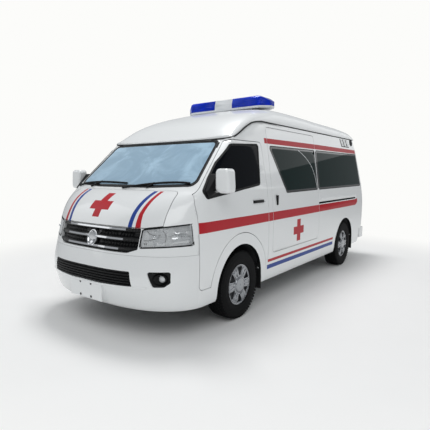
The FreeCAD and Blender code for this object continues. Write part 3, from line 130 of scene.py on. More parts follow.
def make_materials():
    """All finishes of the vehicle. A grain is its size in metres, strength, depth in metres, tint and detail."""
    kinds = {}

    def made_of(key, name, hex_value, roughness, grained=None, flute=None, **sockets):
        kinds[key] = surface(name, hex_value, roughness, **sockets)
        if grained:
            grain(kinds[key], *grained)
        if flute:
            fluted(kinds[key], flute)

    # Sprayed and baked enamel under clear lacquer: bright, with a faint orange peel a few millimetres across
    made_of("enamel", "White_baked_enamel", "#EEF0F0", 0.32, (0.006, 0.02, 0.0002, "#E9ECED", 1.0),
            Coat_Weight=1.0, Coat_Roughness=0.03)
    # Glass-fibre roof shell with white gelcoat: a little softer in its gloss than the panels
    made_of("gelcoat", "White_gelcoat", "#EDEFEF", 0.36, (0.012, 0.03, 0.0004, "#E7EAEB", 2.0),
            Coat_Weight=0.7, Coat_Roughness=0.08)
    # Moulded bumper cover, painted as the panels are
    made_of("bumper", "White_painted_bumper", "#ECEEEE", 0.34, (0.008, 0.03, 0.0003, "#E6E9EA", 1.0),
            Coat_Weight=0.9, Coat_Roughness=0.05)
    # Self-adhesive vinyl film: flat colour under a soft gloss
    made_of("red_vinyl", "Red_vinyl_film", "#BC1B28", 0.4, (0.004, 0.02, 0.0001, "#B01825", 1.0),
            Specular_IOR_Level=0.3)
    made_of("blue_vinyl", "Blue_vinyl_film", "#1B3E93", 0.4, (0.004, 0.02, 0.0001, "#1C3F90", 1.0),
            Specular_IOR_Level=0.3)
    # Grained black polypropylene trim
    made_of("black_plastic", "Black_polypropylene", "#0A0B0D", 0.5, (0.0012, 0.25, 0.0003, "#101113"),
            Specular_IOR_Level=0.25)
    # Gloss black ABS behind the chrome bars
    made_of("gloss_black", "Gloss_black_ABS", "#08090B", 0.28, (0.02, 0.01, 0.0001, "#0B0C0E"),
            Specular_IOR_Level=0.35)
    # EPDM rubber seals
    made_of("seal", "Black_EPDM_seal", "#0C0D0E", 0.62, (0.0015, 0.2, 0.0002, "#17181A"), Specular_IOR_Level=0.3)
    # Chrome plate over moulded plastic
    made_of("chrome", "Chrome_plate", "#D9DBDE", 0.07, (0.03, 0.01, 0.0002), Metallic=1.0)
    # Vacuum-metallised lamp reflector
    made_of("reflector", "Metallised_reflector", "#DDE0E2", 0.14, (0.01, 0.05, 0.0003), Metallic=1.0)
    # Silver-lacquered wheel trim
    made_of("silver", "Silver_wheel_lacquer", "#9FA2A6", 0.24, (0.0015, 0.06, 0.0001, "#909397"),
            Metallic=0.9, Coat_Weight=0.4)
    # Tyre rubber, carbon black, matt with a dry bloom
    made_of("tyre", "Tyre_rubber", "#090A0B", 0.75, (0.004, 0.25, 0.0004, "#0F1011"), Specular_IOR_Level=0.18)
    # Soft mud flap rubber
    made_of("flap", "Mud_flap_rubber", "#0D0E0F", 0.66, (0.006, 0.3, 0.0005, "#141516"), Specular_IOR_Level=0.3)
    # Painted steel of the chassis, black primer with dust
    made_of("chassis", "Chassis_black_primer", "#1B1C1D", 0.6, (0.01, 0.2, 0.0006, "#2A2A29"))
    # Raw casting, sand texture
    made_of("casting", "Grey_iron_casting", "#4A4B4C", 0.62, (0.004, 0.5, 0.0008, "#5C5B59"), Metallic=0.6)
    # Grained dark grey dashboard skin
    made_of("dash", "Dashboard_skin", "#3B3E42", 0.6, (0.0018, 0.4, 0.0004, "#44474B"))
    # Pale grey plastic laminate of the inner walls and floor
    made_of("laminate", "Grey_wall_laminate", "#B9BDBE", 0.5, (0.003, 0.15, 0.0002, "#AEB2B4"))
    # Woven seat cloth: threads drawn at two millimetres so that they show
    kinds["cloth"] = woven_cloth()
    # Laminated windscreen: its pale blue gloss colour is a painted reflection of a sky, stronger in soft painted areas
    kinds["windscreen"] = with_painted_reflections(glass("Windscreen_glass", "#B9D3E4", "#B4D3E8", 0.42))
    # Privacy glass of the sides and rear, dark green, and grey-blue tinted glass of the cab doors
    kinds["dark_glass"] = glass("Green_privacy_glass", "#2F5A54", "#0A2A28", 0.50, 0.12)
    kinds["door_glass"] = glass("Tinted_door_glass", "#2C3A4C", "#070D16", 0.55, 0.15)
    # Black ceramic print round the panes, fired into the glass: as glossy as the glass over it
    made_of("frit", "Black_ceramic_frit", "#0D0F11", 0.08, (0.02, 0.01, 0.0001, "#111315"), Coat_Weight=0.3)
    # Clear polycarbonate lens, very slightly milky
    kinds["lens"] = glass("Clear_polycarbonate", "#FEFEFE", "#F4F6F7", 0.90)
    # Blue translucent acrylic of the beacons, moulded with a fine flute
    kinds["blue_lens"] = fluted(glass("Blue_beacon_acrylic", "#4C8BFF", "#0C44D8", 0.62), 0.012)
    # Lamp acrylics: glossy and fluted, drawn opaque in the colour that they show unlit
    made_of("red_lens", "Red_lamp_acrylic", "#A80F1A", 0.1, flute=0.008, Coat_Weight=0.6)
    made_of("amber", "Amber_lamp_acrylic", "#E07F1A", 0.12, flute=0.008, Coat_Weight=0.5)
    made_of("clear_lens", "Clear_lamp_acrylic", "#D9DCDE", 0.12, flute=0.008, Coat_Weight=0.5)
    # Grey indicator window of the headlamp, with upright flutes
    made_of("indicator", "Grey_indicator_window", "#C9CCCF", 0.2, flute=0.010, Coat_Weight=0.3)
    # Bright silver moulding inside the headlamp
    made_of("lamp_silver", "Metallised_lamp_bezel", "#F4F6F7", 0.28, (0.012, 0.04, 0.0003, "#E6E9EB"), Metallic=0.15)
    # Pressed steel wheel in dark primer, seen through the trim's openings: its dark colour is partly the primer and
    # partly painted shade in those openings
    made_of("rim_steel_and_shade", "Dark_wheel_steel", "#242628", 0.5, (0.004, 0.2, 0.0003, "#333538"), Metallic=0.4)
    # Moulded white ABS of housings and the blank rear plate
    made_of("white_abs", "White_ABS_housing", "#E3E6E8", 0.3, (0.006, 0.05, 0.0002, "#DADDE0"), Coat_Weight=0.4)
    # Silvered mirror glass
    made_of("mirror", "Mirror_glass", "#E4E8EA", 0.03, (0.05, 0.01, 0.0001), Metallic=1.0)
    return kinds


def woven_cloth():
    """Woven polyester seat cloth, with crossing threads."""
    material = surface("Woven_seat_cloth", "#4C535C", 0.85, Sheen_Weight=0.35)
    tree = material.node_tree
    weft, warp = [pattern(tree, "ShaderNodeTexWave", {"Scale": 160.0, "Distortion": 0.4}, bands_direction=way)
                  for way in "XY"]
    height = node(tree, "ShaderNodeMath", {}, {0: weft, 1: warp}, operation="MULTIPLY").outputs["Value"]
    bumped(tree, height, 0.35, 0.0006)
    tinted(tree, height, colour("#434A53"), colour("#59616B"))
    return material


def glass(name, through_hex, sheen_hex, see_through, gloss_level=0.5):
    """Thin sheet glass: a tinted straight view through it, with a gloss that grows at grazing angles."""
    material = surface(name, sheen_hex, 0.03, Specular_IOR_Level=gloss_level)
    tree = material.node_tree
    gloss = tree.nodes["Principled BSDF"]
    clear = node(tree, "ShaderNodeBsdfTransparent", {"Color": colour(through_hex)})
    rim = node(tree, "ShaderNodeFresnel", {"IOR": 1.5})
    solid = node(tree, "ShaderNodeMapRange", {"From Max": 0.6, "To Min": 1.0 - see_through, "To Max": 1.0},
                 {"Value": rim.outputs["Fac"]})
    mix = node(tree, "ShaderNodeMixShader", {}, {"Fac": solid.outputs["Result"], 1: clear.outputs["BSDF"],
                                                 2: gloss.outputs["BSDF"]})
    tree.links.new(mix.outputs["Shader"], tree.nodes["Material Output"].inputs["Surface"])
    material.diffuse_color = colour(sheen_hex, 0.5)
    return material


def with_painted_reflections(material):
    """Adds painted reflection to a windscreen: soft areas some decimetres across where more of its pale gloss colour
    shows.
    """
    tree = material.node_tree
    # Painted reflection: a soft noise that raises the share of the pale gloss colour in places
    painted_reflection_noise = pattern(tree, "ShaderNodeTexNoise", {"Scale": 2.6, "Detail": 5.0, "Roughness": 0.6, "Distortion": 0.8})
    ramp = node(tree, "ShaderNodeMapRange", {"From Min": 0.42, "From Max": 0.70, "To Min": 0.0, "To Max": 0.30},
                {"Value": painted_reflection_noise}, interpolation_type="SMOOTHSTEP")
    mix = next(n for n in tree.nodes if n.bl_idname == "ShaderNodeMixShader")
    solid = next(n for n in tree.nodes if n.bl_idname == "ShaderNodeMapRange" and n != ramp)
    more = node(tree, "ShaderNodeMath", {}, {0: solid.outputs["Result"], 1: ramp.outputs["Result"]}, operation="ADD",
                use_clamp=True)
    tree.links.new(more.outputs["Value"], mix.inputs["Fac"])
    return material


def fluted(material, pitch):
    """Adds moulded upright flutes of a real spacing in metres to a lamp's acrylic."""
    tree = material.node_tree
    flutes = pattern(tree, "ShaderNodeTexWave", {"Scale": 0.314 / pitch, "Distortion": 0.0}, bands_direction="DIAGONAL")
    bumped(tree, flutes, 0.5, 0.002)
    return material


paint = make_materials()

# The nodes that keep their CAD shape, by what they are made of
nodes_of_finish = {
    "bumper": "front_bumper rear_bumper",
    "enamel": "front_panel bonnet side_panel_left side_panel_right sliding_door front_door_left front_door_right "
              "tailgate mirror_left mirror_right",
    "gelcoat": "roof", "white_abs": "light_bar", "blue_lens": "light_bar_lenses", "red_lens": "tail_lamps",
    "windscreen": "windscreen", "dark_glass": "side_glass tailgate_glass",
    "door_glass": "door_glass_left door_glass_right", "lens": "headlamp_lenses", "chrome": "grille_bars",
    "gloss_black": "grille headlamps",
    "black_plastic": "lower_grille fog_lamps door_handle_left door_handle_right sliding_door_handle wheelhouses "
                     "steering_wheel wipers",
    "casting": "knuckle_left knuckle_right engine_block rear_axle exhaust",
    "chassis": "front_suspension chassis_frame leaf_springs fuel_tank",
    "laminate": "floor_pan partition seat_frames", "dash": "dashboard",
    "silver": "wheel_front_left wheel_front_right wheel_rear_left wheel_rear_right",
}


# Meshes

def finish_piece(piece, body, materials, smooth=35.0, stands_for=()):
    """Puts a mesh object in the scene with its materials, smooth faces and body."""
    if piece.name not in bpy.context.scene.collection.objects:
        bpy.context.scene.collection.objects.link(piece)
    for material in materials:
        piece.data.materials.append(material)
    if smooth:
        piece.data.shade_smooth()
        piece.data.set_sharp_from_angle(angle=math.radians(smooth))
    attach(piece, body)
    if stands_for:
        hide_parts(*stands_for)
    return piece


def mesh_piece(name, points, faces, body, material, smooth=35.0, stands_for=()):
    """Piece from points and faces, turned outwards."""
    mesh = bpy.data.meshes.new(name)
    mesh.from_pydata([tuple(p) for p in points], [], faces)
    work = bmesh.new()
    work.from_mesh(mesh)
    bmesh.ops.remove_doubles(work, verts=work.verts, dist=1e-6)
    bmesh.ops.recalc_face_normals(work, faces=work.faces)
    work.to_mesh(mesh)
    work.free()
    finish_piece(bpy.data.objects.new(name, mesh), body, [paint[material]], smooth, stands_for)


def gather(parts):
    """Several (points, faces) meshes as one."""
    points, faces = [], []
    for more_points, more_faces in parts:
        start = len(points)
        points += more_points
        faces += [tuple(start + i for i in face) for face in more_faces]
    return points, faces


def fitting(name, parts, body, material, smooth=35.0, stands_for=()):
    """Piece gathered from several (points, faces) meshes."""
    mesh_piece(name, *gather(parts), body, material, smooth, stands_for)


def lofted(rings, size):
    """Faces between closed rings of points, a size of points each, and over the first and last ring."""
    faces = [(i * size + k, i * size + (k + 1) % size, (i + 1) * size + (k + 1) % size, (i + 1) * size + k)
             for i in range(rings - 1) for k in range(size)]
    return faces + [tuple(range(size)), tuple(range((rings - 1) * size, rings * size))]


def welded(node_name):
    """Merged copy of a CAD node's mesh."""
    mesh = frame["nodes"][node_name].data.copy()
    mesh.name = node_name + "_finish"
    work = bmesh.new()
    work.from_mesh(mesh)
    bmesh.ops.remove_doubles(work, verts=work.verts, dist=2e-6)
    work.to_mesh(mesh)
    work.free()
    mesh.materials.clear()
    return mesh


# Stripes and crosses: outlines cut into the panels' own faces, so that their edges are crisp and lie in the skin

class View:
    """A direction to look from, with the flat coordinates that its outlines use."""

    def __init__(self, way, across, places):
        self.way = Vector(way)
        self.across = Vector(across)
        self.places = places

    def flat(self, point):
        return point.dot(self.across), point.z


left_view = View((1, 0, 0), (0, 1, 0), lambda p: p.x > 0.5)
right_view = View((-1, 0, 0), (0, 1, 0), lambda p: p.x < -0.5)
front_view = View((0, -1, 0), (1, 0, 0), lambda p: p.y < -1.5)
rear_view = View((0, 1, 0), (1, 0, 0), lambda p: p.y > 2.0)


def inside(point, outline):
    """Whether a flat point lies in a convex outline, whichever way it runs."""
    turns = []
    for a, b in zip(outline, outline[1:] + outline[:1]):
        turns.append((b[0] - a[0]) * (point[1] - a[1]) - (b[1] - a[1]) * (point[0] - a[0]))
    return all(t > -1e-9 for t in turns) or all(t < 1e-9 for t in turns)


def moved_in(outline, by):
    """The same convex outline with every side moved in."""
    moved = []
    for i, corner in enumerate(outline):
        corner = Vector(corner)
        to_before = (Vector(outline[i - 1]) - corner).normalized()
        to_after = (Vector(outline[(i + 1) % len(outline)]) - corner).normalized()
        moved.append(corner + (to_before + to_after).normalized() * by / math.sin(to_before.angle(to_after) / 2))
    return moved


def rounded(outline, radius, steps=5):
    """Flat outline with rounded corners."""
    places = []
    for i, corner in enumerate(outline):
        corner = Vector(corner)
        to_before = Vector(outline[i - 1]) - corner
        to_after = Vector(outline[(i + 1) % len(outline)]) - corner
        half = to_before.angle(to_after) / 2
        setback = min(radius / math.tan(half), to_before.length * 0.48, to_after.length * 0.48)
        used = setback * math.tan(half)
        centre = corner + (to_before.normalized() + to_after.normalized()).normalized() * used / math.sin(half)
        first = corner + to_before.normalized() * setback - centre
        last = corner + to_after.normalized() * setback - centre
        for k in range(steps + 1):
            places.append(centre + first.lerp(last, k / steps).normalized() * used)
    return places


def cut_in(work, view, outline, slot, through=False):
    """Cuts a convex outline into the faces that look along a view, and gives what lies in it a material."""
    us = [p[0] for p in outline]
    vs = [p[1] for p in outline]
    least_facing = 0.15

    def touched():
        found = []
        for face in work.faces:
            facing = face.normal.dot(view.way)
            if (abs(facing) if through else facing) < least_facing or not view.places(face.calc_center_median()):
                continue
            flats = [view.flat(v.co) for v in face.verts]
            if (max(f[0] for f in flats) > min(us) and min(f[0] for f in flats) < max(us)
                    and max(f[1] for f in flats) > min(vs) and min(f[1] for f in flats) < max(vs)):
                found.append(face)
        return found

    for a, b in zip(outline, outline[1:] + outline[:1]):
        faces = touched()
        if not faces:
            return
        place = view.across * a[0] + Vector((0, 0, a[1]))
        run = view.across * (b[0] - a[0]) + Vector((0, 0, b[1] - a[1]))
        around = list({e for f in faces for e in f.edges}) + list({v for f in faces for v in f.verts}) + faces
        bmesh.ops.bisect_plane(work, geom=around, dist=1e-6, plane_co=place, plane_no=run.cross(view.way).normalized())
    for face in touched():
        if inside(view.flat(face.calc_center_median()), outline):
            face.material_index = slot


def band(points, width_way, widths):
    """Convex four-sided pieces of a stripe along points, as wide as widths along a way."""
    pieces = []
    for (a, wa), (b, wb) in zip(list(zip(points, widths)), list(zip(points, widths))[1:]):
        pieces.append([a, b, (b[0] + width_way[0] * wb, b[1] + width_way[1] * wb),
                       (a[0] + width_way[0] * wa, a[1] + width_way[1] * wa)])
    return pieces


def cross(centre, size, arm):
    """Two rectangles of an upright cross."""
    x, z = centre
    half_x, half_z = size[0] / 2, size[1] / 2
    arm_x, arm_z = arm[0] / 2, arm[1] / 2
    return [[(x - half_x, z - arm_z), (x + half_x, z - arm_z), (x + half_x, z + arm_z), (x - half_x, z + arm_z)],
            [(x - arm_x, z - half_z), (x + arm_x, z - half_z), (x + arm_x, z + half_z), (x - arm_x, z + half_z)]]


red, blue = 1, 2
side_marks = [(slot, outline) for slot, line, widths in (
    (red, [(-2.40, 0.935), (2.10, 0.935)], [0.095, 0.095]),
    (red, [(2.10, 0.935), (2.17, 0.955), (2.215, 0.985)], [0.095, 0.088, 0.05]),
    (red, [(-0.910, 1.776), (0.56, 1.779), (2.30, 1.785)], [0.057, 0.066, 0.060]),
    (red, [(-0.96, 0.479), (1.10, 0.479)], [0.033, 0.033]),
    (blue, [(-0.96, 0.402), (1.10, 0.402)], [0.048, 0.048])) for outline in band(line, (0, 1), widths)]
side_marks += [(red, outline) for outline in cross((-0.16, 0.758), (0.30, 0.27), (0.105, 0.095))]
front_marks = [(red, outline) for outline in cross((-0.034, 1.157), (0.27, 0.21), (0.095, 0.075))]
stripe_heights = (1.290, 1.20, 1.10, 1.03, 0.96)
for way in (-1, 1):
    for slot, reach, widths in ((blue, (0.445, 0.428, 0.412, 0.408, 0.408), [0.042] * 5),
                                (red, (0.515, 0.500, 0.483, 0.482, 0.486), [0.034, 0.036, 0.040, 0.048, 0.055])):
        line = [(way * x, z) for x, z in zip(reach, stripe_heights)]
        front_marks += [(slot, outline) for outline in band(line, (way, 0), widths)]

# Outlines on each panel, from the side they are seen from. The cab doors have the waist band alone
marked_nodes = {
    "side_panel_left": [(left_view, side_marks)], "side_panel_right": [(right_view, side_marks)],
    "sliding_door": [(left_view, side_marks)], "front_door_left": [(left_view, side_marks[:1])],
    "front_door_right": [(right_view, side_marks[:1])], "bonnet": [(front_view, front_marks)],
    "front_panel": [(front_view, front_marks[2:])],
}


# Parts of a node with a finish of their own, told by the place and direction of each face

headlamp_outline = [(0.5546, 0.8179), (0.9165, 0.8415), (0.9165, 1.0328), (0.5546, 0.9821)]
headlamp_inside = moved_in(headlamp_outline, 0.0085)
low_bowl, low_bowl_radius = (0.672, 0.917), 0.070
side_bowl, side_bowl_radius = (0.810, 0.938), 0.038
fog_centre, fog_radius = (0.7454, 0.5704), 0.040


def headlamp_part(centre, normal):
    """Rim, silver moulding or reflector bowl."""
    place = (abs(centre.x), centre.z)
    if not inside(place, headlamp_inside):
        return 0
    bowls = ((low_bowl, low_bowl_radius), (side_bowl, side_bowl_radius))
    return 2 if any(math.dist(place, bowl) < radius for bowl, radius in bowls) else 1


def tail_lamp_part(centre, normal):
    """Amber above, clear below, red between, in a white housing behind."""
    amber_foot, clear_top = 1.09, 0.90
    if normal.y < 0.25 and normal.x * centre.x < abs(centre.x) * 0.5:
        return 3
    return 1 if centre.z > amber_foot else 2 if centre.z < clear_top else 0


def panel_part(centre, normal):
    """Black in the sliding door's rail slot and the wheel arches, and lining on the inner side of a body panel. The
    slot's black is partly the rail's own and partly painted shade in the slot.
    """
    rail_front, rail_rear, rail_z, rail_half = 0.51, 2.106, 1.055, 0.0131
    # Rail slot: black faces, partly the rail's own black and partly painted shade in the recess
    if centre.x > 0.9 and rail_front < centre.y < rail_rear and abs(centre.z - rail_z) < rail_half:
        return 3
    beside = abs(centre.x) > 0.6
    up = max(0.0, centre.z - tyre_radius)
    if beside and centre.z < 0.8 and any(math.hypot(centre.y - axle_y, up) < arch_radius + 0.0015
                                         for axle_y in (front_axle_y, rear_axle_y)):
        return 3
    inner_side = beside and normal.x * centre.x < 0 and abs(normal.x) > 0.5
    inner_end = abs(centre.y) > 1.6 and normal.y * centre.y < 0 and abs(normal.y) > 0.5
    return 4 if inner_side or inner_end or normal.z < -0.6 and centre.z > 1.7 else 0


# Slots after a node's own finish, and the rule that gives each face its slot
own_finish = {
    "headlamps": (["lamp_silver", "reflector"], headlamp_part),
    "light_bar": (["black_plastic"], lambda centre, normal: int(centre.z < 2.2455)),
    "tail_lamps": (["amber", "clear_lens", "white_abs"], tail_lamp_part),
}
for side, _ in sides:
    own_finish["mirror_" + side] = (["black_plastic"], lambda centre, normal: int(abs(centre.x) < half_width + 0.0145))
    for end in ("front", "rear"):
        # Faces deeper than the trim take the dark steel, which is partly painted shade in the trim's openings
        own_finish["wheel_" + end + "_" + side] = (["rim_steel_and_shade"], lambda centre, normal: int(
            abs(centre.x) - wheel_x < 0.0632))
# Lining inside each body panel
panels = {"side_panel_left": "laminate", "side_panel_right": "laminate", "sliding_door": "laminate", "roof": "laminate",
          "tailgate": "laminate", "front_panel": "dash", "front_door_left": "dash", "front_door_right": "dash",
          "bonnet": "chassis", "front_bumper": "chassis"}
for panel_name, lining in panels.items():
    own_finish[panel_name] = (["red_vinyl", "blue_vinyl", "black_plastic", lining], panel_part)

# Clear openings of the panes inside their black border
windscreen_outline = [(-0.799, 1.341), (-0.376, 1.323), (0.376, 1.323), (0.799, 1.341), (0.722, 1.7685),
                      (-0.722, 1.7685)]
side_front_outline = [(-0.823, 1.753), (-0.473, 1.2285), (0.4815, 1.2375), (0.4815, 1.762)]
side_rear_outline = [(0.530, 1.762), (0.530, 1.2375), (2.418, 1.249), (2.295, 1.773)]
rear_outline = [(-0.658, 1.260), (0.658, 1.260), (0.602, 1.800), (-0.602, 1.800)]
clear_parts = {
    "windscreen": [(front_view, rounded(moved_in(windscreen_outline, 0.020), 0.035))],
    "tailgate_glass": [(rear_view, rounded(moved_in(rear_outline, 0.045), 0.04))],
    "side_glass": [(view, rounded(moved_in(outline, 0.026), 0.02)) for view in (left_view, right_view)
                   for outline in (side_front_outline, side_rear_outline)],
}


def dressed(node_name, finish):
    """Puts in a CAD node's copy with smooth faces and its finish, with the stripes and clear openings it has."""
    mesh = welded(node_name)
    mesh.shade_smooth()
    mesh.set_sharp_from_angle(angle=math.radians(30.0))
    marks = [(view, slot, outline, False) for view, outlines in marked_nodes.get(node_name, [])
             for slot, outline in outlines]
    openings = [(view, 0, outline, True) for view, outline in clear_parts.get(node_name, [])]
    materials = [paint[finish]]
    if openings:
        materials.append(paint["frit"])
        mesh.polygons.foreach_set("material_index", [1] * len(mesh.polygons))
    if node_name in own_finish:
        more, part_of = own_finish[node_name]
        materials += [paint[key] for key in more]
        mesh.polygons.foreach_set("material_index", [part_of(f.center, f.normal) for f in mesh.polygons])
    if marks or openings:
        normals = mesh.attributes.new("skin_normal", "FLOAT_VECTOR", "CORNER")
        normals.data.foreach_set("vector", [c for n in mesh.corner_normals for c in n.vector])
        work = bmesh.new()
        work.from_mesh(mesh)
        work.normal_update()
        for view, slot, outline, through in marks + openings:
            cut_in(work, view, outline, slot, through)
            work.normal_update()
        work.to_mesh(mesh)
        work.free()
        kept = [Vector(d.vector).normalized() for d in mesh.attributes["skin_normal"].data]
        mesh.attributes.remove(mesh.attributes["skin_normal"])
        mesh.normals_split_custom_set(kept)
    finish_piece(bpy.data.objects.new(mesh.name, mesh), body_of_node[node_name], materials, 0, (node_name,))


for finish, node_names in nodes_of_finish.items():
    for node_name in node_names.split():
        dressed(node_name, finish)


# Rubber, trim and small fittings laid on the skin

def skin(*node_names):
    """Search tree over the faces of CAD nodes."""
    points, faces = [], []
    for name in node_names:
        mesh = frame["nodes"][name].data
        start = len(points)
        points += [v.co.copy() for v in mesh.vertices]
        faces += [[start + i for i in f.vertices] for f in mesh.polygons]
    return BVHTree.FromPolygons(points, faces)


def landed(tree, view, places):
    """Points and outward directions where flat places of a view meet a skin."""
    found = []
    for u, v in places:
        start = view.across * u + Vector((0, 0, v)) + view.way * 4.0
        point, normal, _, _ = tree.ray_cast(start, -view.way)
        if point is not None:
            found.append((point, normal if normal.dot(view.way) > 0 else -normal))
    return found


def spaced(run, spacing, closed=False):
    """The same run of points and directions, evenly spaced."""
    if closed:
        run = run + run[:1]
    reach = [0.0]
    for (a, _), (b, _) in zip(run, run[1:]):
        reach.append(reach[-1] + (b - a).length)
    count = max(2, round(reach[-1] / spacing))
    made = []
    k = 0
    for i in range(count if closed else count + 1):
        at = reach[-1] * i / count
        while k < len(run) - 2 and reach[k + 1] < at:
            k += 1
        part = (at - reach[k]) / max(1e-9, reach[k + 1] - reach[k])
        made.append((run[k][0].lerp(run[k + 1][0], part), run[k][1].lerp(run[k + 1][1], part).normalized()))
    return made


def rims(node_name, view, spacing):
    """Closed runs round the outer face of each of a node's panes, read from the pane itself."""
    facing = 0.25
    mesh = welded(node_name)
    work = bmesh.new()
    work.from_mesh(mesh)
    bpy.data.meshes.remove(mesh)
    work.normal_update()
    ways = {}
    for edge in work.edges:
        if len(edge.link_faces) != 2:
            continue
        a, b = edge.link_faces
        if (a.normal.dot(view.way) > facing) == (b.normal.dot(view.way) > facing):
            continue
        outer = a if a.normal.dot(view.way) > facing else b
        if not view.places(outer.calc_center_median()):
            continue
        for v, w in ((edge.verts[0], edge.verts[1]), (edge.verts[1], edge.verts[0])):
            ways.setdefault(v.index, []).append((w.index, outer.normal.copy()))
    places = {v.index: v.co.copy() for v in work.verts}
    work.free()
    runs, used = [], set()
    for start in ways:
        if start in used:
            continue
        run, here = [], start
        while here is not None:
            used.add(here)
            run.append((places[here], ways[here][0][1]))
            here = next((w for w, _ in ways[here] if w not in used), None)
        if len(run) > 6:
            runs.append(spaced(run, spacing, True))
    return runs


def strips(name, runs, width, height, body, material, closed=False, sunk=0.0025):
    """Strips with a domed back that follow runs of points and directions."""
    points, faces = [], []
    shape = [(-1.0, -sunk), (-0.85, height * 0.65), (-0.4, height), (0.4, height), (0.85, height * 0.65), (1.0, -sunk)]
    for run in runs:
        start, count, size = len(points), len(run), len(shape)
        for i, (place, normal) in enumerate(run):
            before = run[i - 1][0] if i or closed else place
            after = run[(i + 1) % count][0] if i + 1 < count or closed else place
            side = (after - before).normalized().cross(normal).normalized()
            points += [place + side * (across * width / 2) + normal * up for across, up in shape]
        for i in range(count if closed else count - 1):
            here, there = start + i * size, start + (i + 1) % count * size
            faces += [(here + k, here + (k + 1) % size, there + (k + 1) % size, there + k) for k in range(size)]
        if not closed:
            faces += [tuple(range(first, first + size)) for first in (start, start + (count - 1) * size)]
    mesh_piece(name, points, faces, body, material, 40.0)


def over(point):
    """The same place or direction on the vehicle's other side."""
    return Vector((-point.x, point.y, point.z))


def both(runs):
    """Runs with the same ones on the vehicle's other side."""
    return runs + [[(over(place), over(normal)) for place, normal in run] for run in runs]


def on_both_sides(name, parts, body, material):
    """A piece for each side from (points, faces) meshes on the left."""
    points, faces = gather(parts)
    mesh_piece(name + "_left", points, faces, body, material)
    mesh_piece(name + "_right", [over(p) for p in points], faces, body, material)


def turned(outline, place, way, steps=32):
    """Body of revolution about a direction at a place, from (distance out, radius) pairs."""
    way = Vector(way).normalized()
    first = way.orthogonal().normalized()
    second = way.cross(first)
    points = []
    for out, radius in outline:
        for k in range(steps):
            turn = 2 * math.pi * k / steps
            points.append(Vector(place) + way * out + (first * math.cos(turn) + second * math.sin(turn)) * radius)
    return points, lofted(len(outline), steps)


# Repeated pieces, by Geometry Nodes

def repeat_tree():
    """Node tree that sets a unit piece on points, turned and sized as each point says."""
    tree = bpy.data.node_groups.new("Repeated_units", "GeometryNodeTree")
    for name, kind, way in (("Points", "NodeSocketGeometry", "INPUT"), ("Unit", "NodeSocketObject", "INPUT"),
                            ("Unit size", "NodeSocketFloat", "INPUT"), ("Finish", "NodeSocketMaterial", "INPUT"),
                            ("Geometry", "NodeSocketGeometry", "OUTPUT")):
        tree.interface.new_socket(name, in_out=way, socket_type=kind)
    given = node(tree, "NodeGroupInput")
    unit = node(tree, "GeometryNodeObjectInfo", {}, {"Object": given.outputs["Unit"]})
    turn = node(tree, "GeometryNodeInputNamedAttribute", {"Name": "turn"}, data_type="FLOAT_VECTOR")
    turned_by = node(tree, "FunctionNodeEulerToRotation", {}, {"Euler": turn.outputs["Attribute"]})
    size = node(tree, "GeometryNodeInputNamedAttribute", {"Name": "size"}, data_type="FLOAT_VECTOR")
    sized = node(tree, "ShaderNodeVectorMath", {}, {0: size.outputs["Attribute"], "Scale": given.outputs["Unit size"]},
                 operation="SCALE")
    placed = node(tree, "GeometryNodeInstanceOnPoints", {}, {
        "Points": given.outputs["Points"], "Instance": unit.outputs["Geometry"],
        "Rotation": turned_by.outputs["Rotation"], "Scale": sized.outputs["Vector"]})
    real = node(tree, "GeometryNodeRealizeInstances", {}, {"Geometry": placed.outputs["Instances"]})
    finished = node(tree, "GeometryNodeSetMaterial", {}, {"Geometry": real.outputs["Geometry"],
                                                          "Material": given.outputs["Finish"]})
    node(tree, "NodeGroupOutput", {}, {"Geometry": finished.outputs["Geometry"]})
    return tree


repeated_units = repeat_tree()


def unit_piece(name, points, faces):
    """Object to be repeated."""
    mesh = bpy.data.meshes.new(name)
    mesh.from_pydata([tuple(p) for p in points], [], faces)
    return bpy.data.objects.new(name, mesh)


# Tread block of one metre with its upper edges bevelled, and round screw head of one metre across
block = unit_piece("Unit_block", [(x * half, y * half, z) for half, z in ((0.5, -0.5), (0.5, 0.38), (0.38, 0.5))
                                  for x, y in ((-1, -1), (1, -1), (1, 1), (-1, 1))], lofted(3, 4))
dome = unit_piece("Unit_dome", *turned([(-0.2, 0.5), (0.12, 0.5), (0.24, 0.4), (0.3, 0.2), (0.31, 0.02)],
                                       (0, 0, 0), (0, 0, 1), 10))


def repeated(name, unit, places, body, material, smooth=35.0, extra=None):
    """One mesh of a unit set at (point, turn, size) places, with an extra (points, faces) part in it."""
    mesh = bpy.data.meshes.new(name + "_places")
    mesh.from_pydata([tuple(place) for place, _, _ in places], [], [])
    for key, column in (("turn", 1), ("size", 2)):
        layer = mesh.attributes.new(key, "FLOAT_VECTOR", "POINT")
        layer.data.foreach_set("vector", [c for row in places for c in row[column]])
    holder = bpy.data.objects.new(name + "_places", mesh)
    bpy.context.scene.collection.objects.link(holder)
    modifier = holder.modifiers.new("Units", "NODES")
    modifier.node_group = repeated_units
    values = {"Unit": unit, "Unit size": 1.0, "Finish": paint[material]}
    for item in repeated_units.interface.items_tree:
        if item.in_out == "INPUT" and item.name in values:
            modifier[item.identifier] = values[item.name]
    bpy.context.view_layer.update()
    evaluated = holder.evaluated_get(bpy.context.evaluated_depsgraph_get())
    made = bpy.data.meshes.new_from_object(evaluated)
    bpy.data.objects.remove(holder)
    work = bmesh.new()
    work.from_mesh(made)
    if extra:
        verts = [work.verts.new(p) for p in extra[0]]
        for face in extra[1]:
            work.faces.new([verts[i] for i in face])
    bmesh.ops.recalc_face_normals(work, faces=work.faces)
    work.to_mesh(made)
    work.free()
    for layer in ("turn", "size"):
        if layer in made.attributes:
            made.attributes.remove(made.attributes[layer])
    made.name = name
    made.materials.clear()
    piece = bpy.data.objects.new(name, made)
    return finish_piece(piece, body, [paint[material]], smooth)


# Tyres: carcass with moulded sidewall rings, and tread blocks in five rows

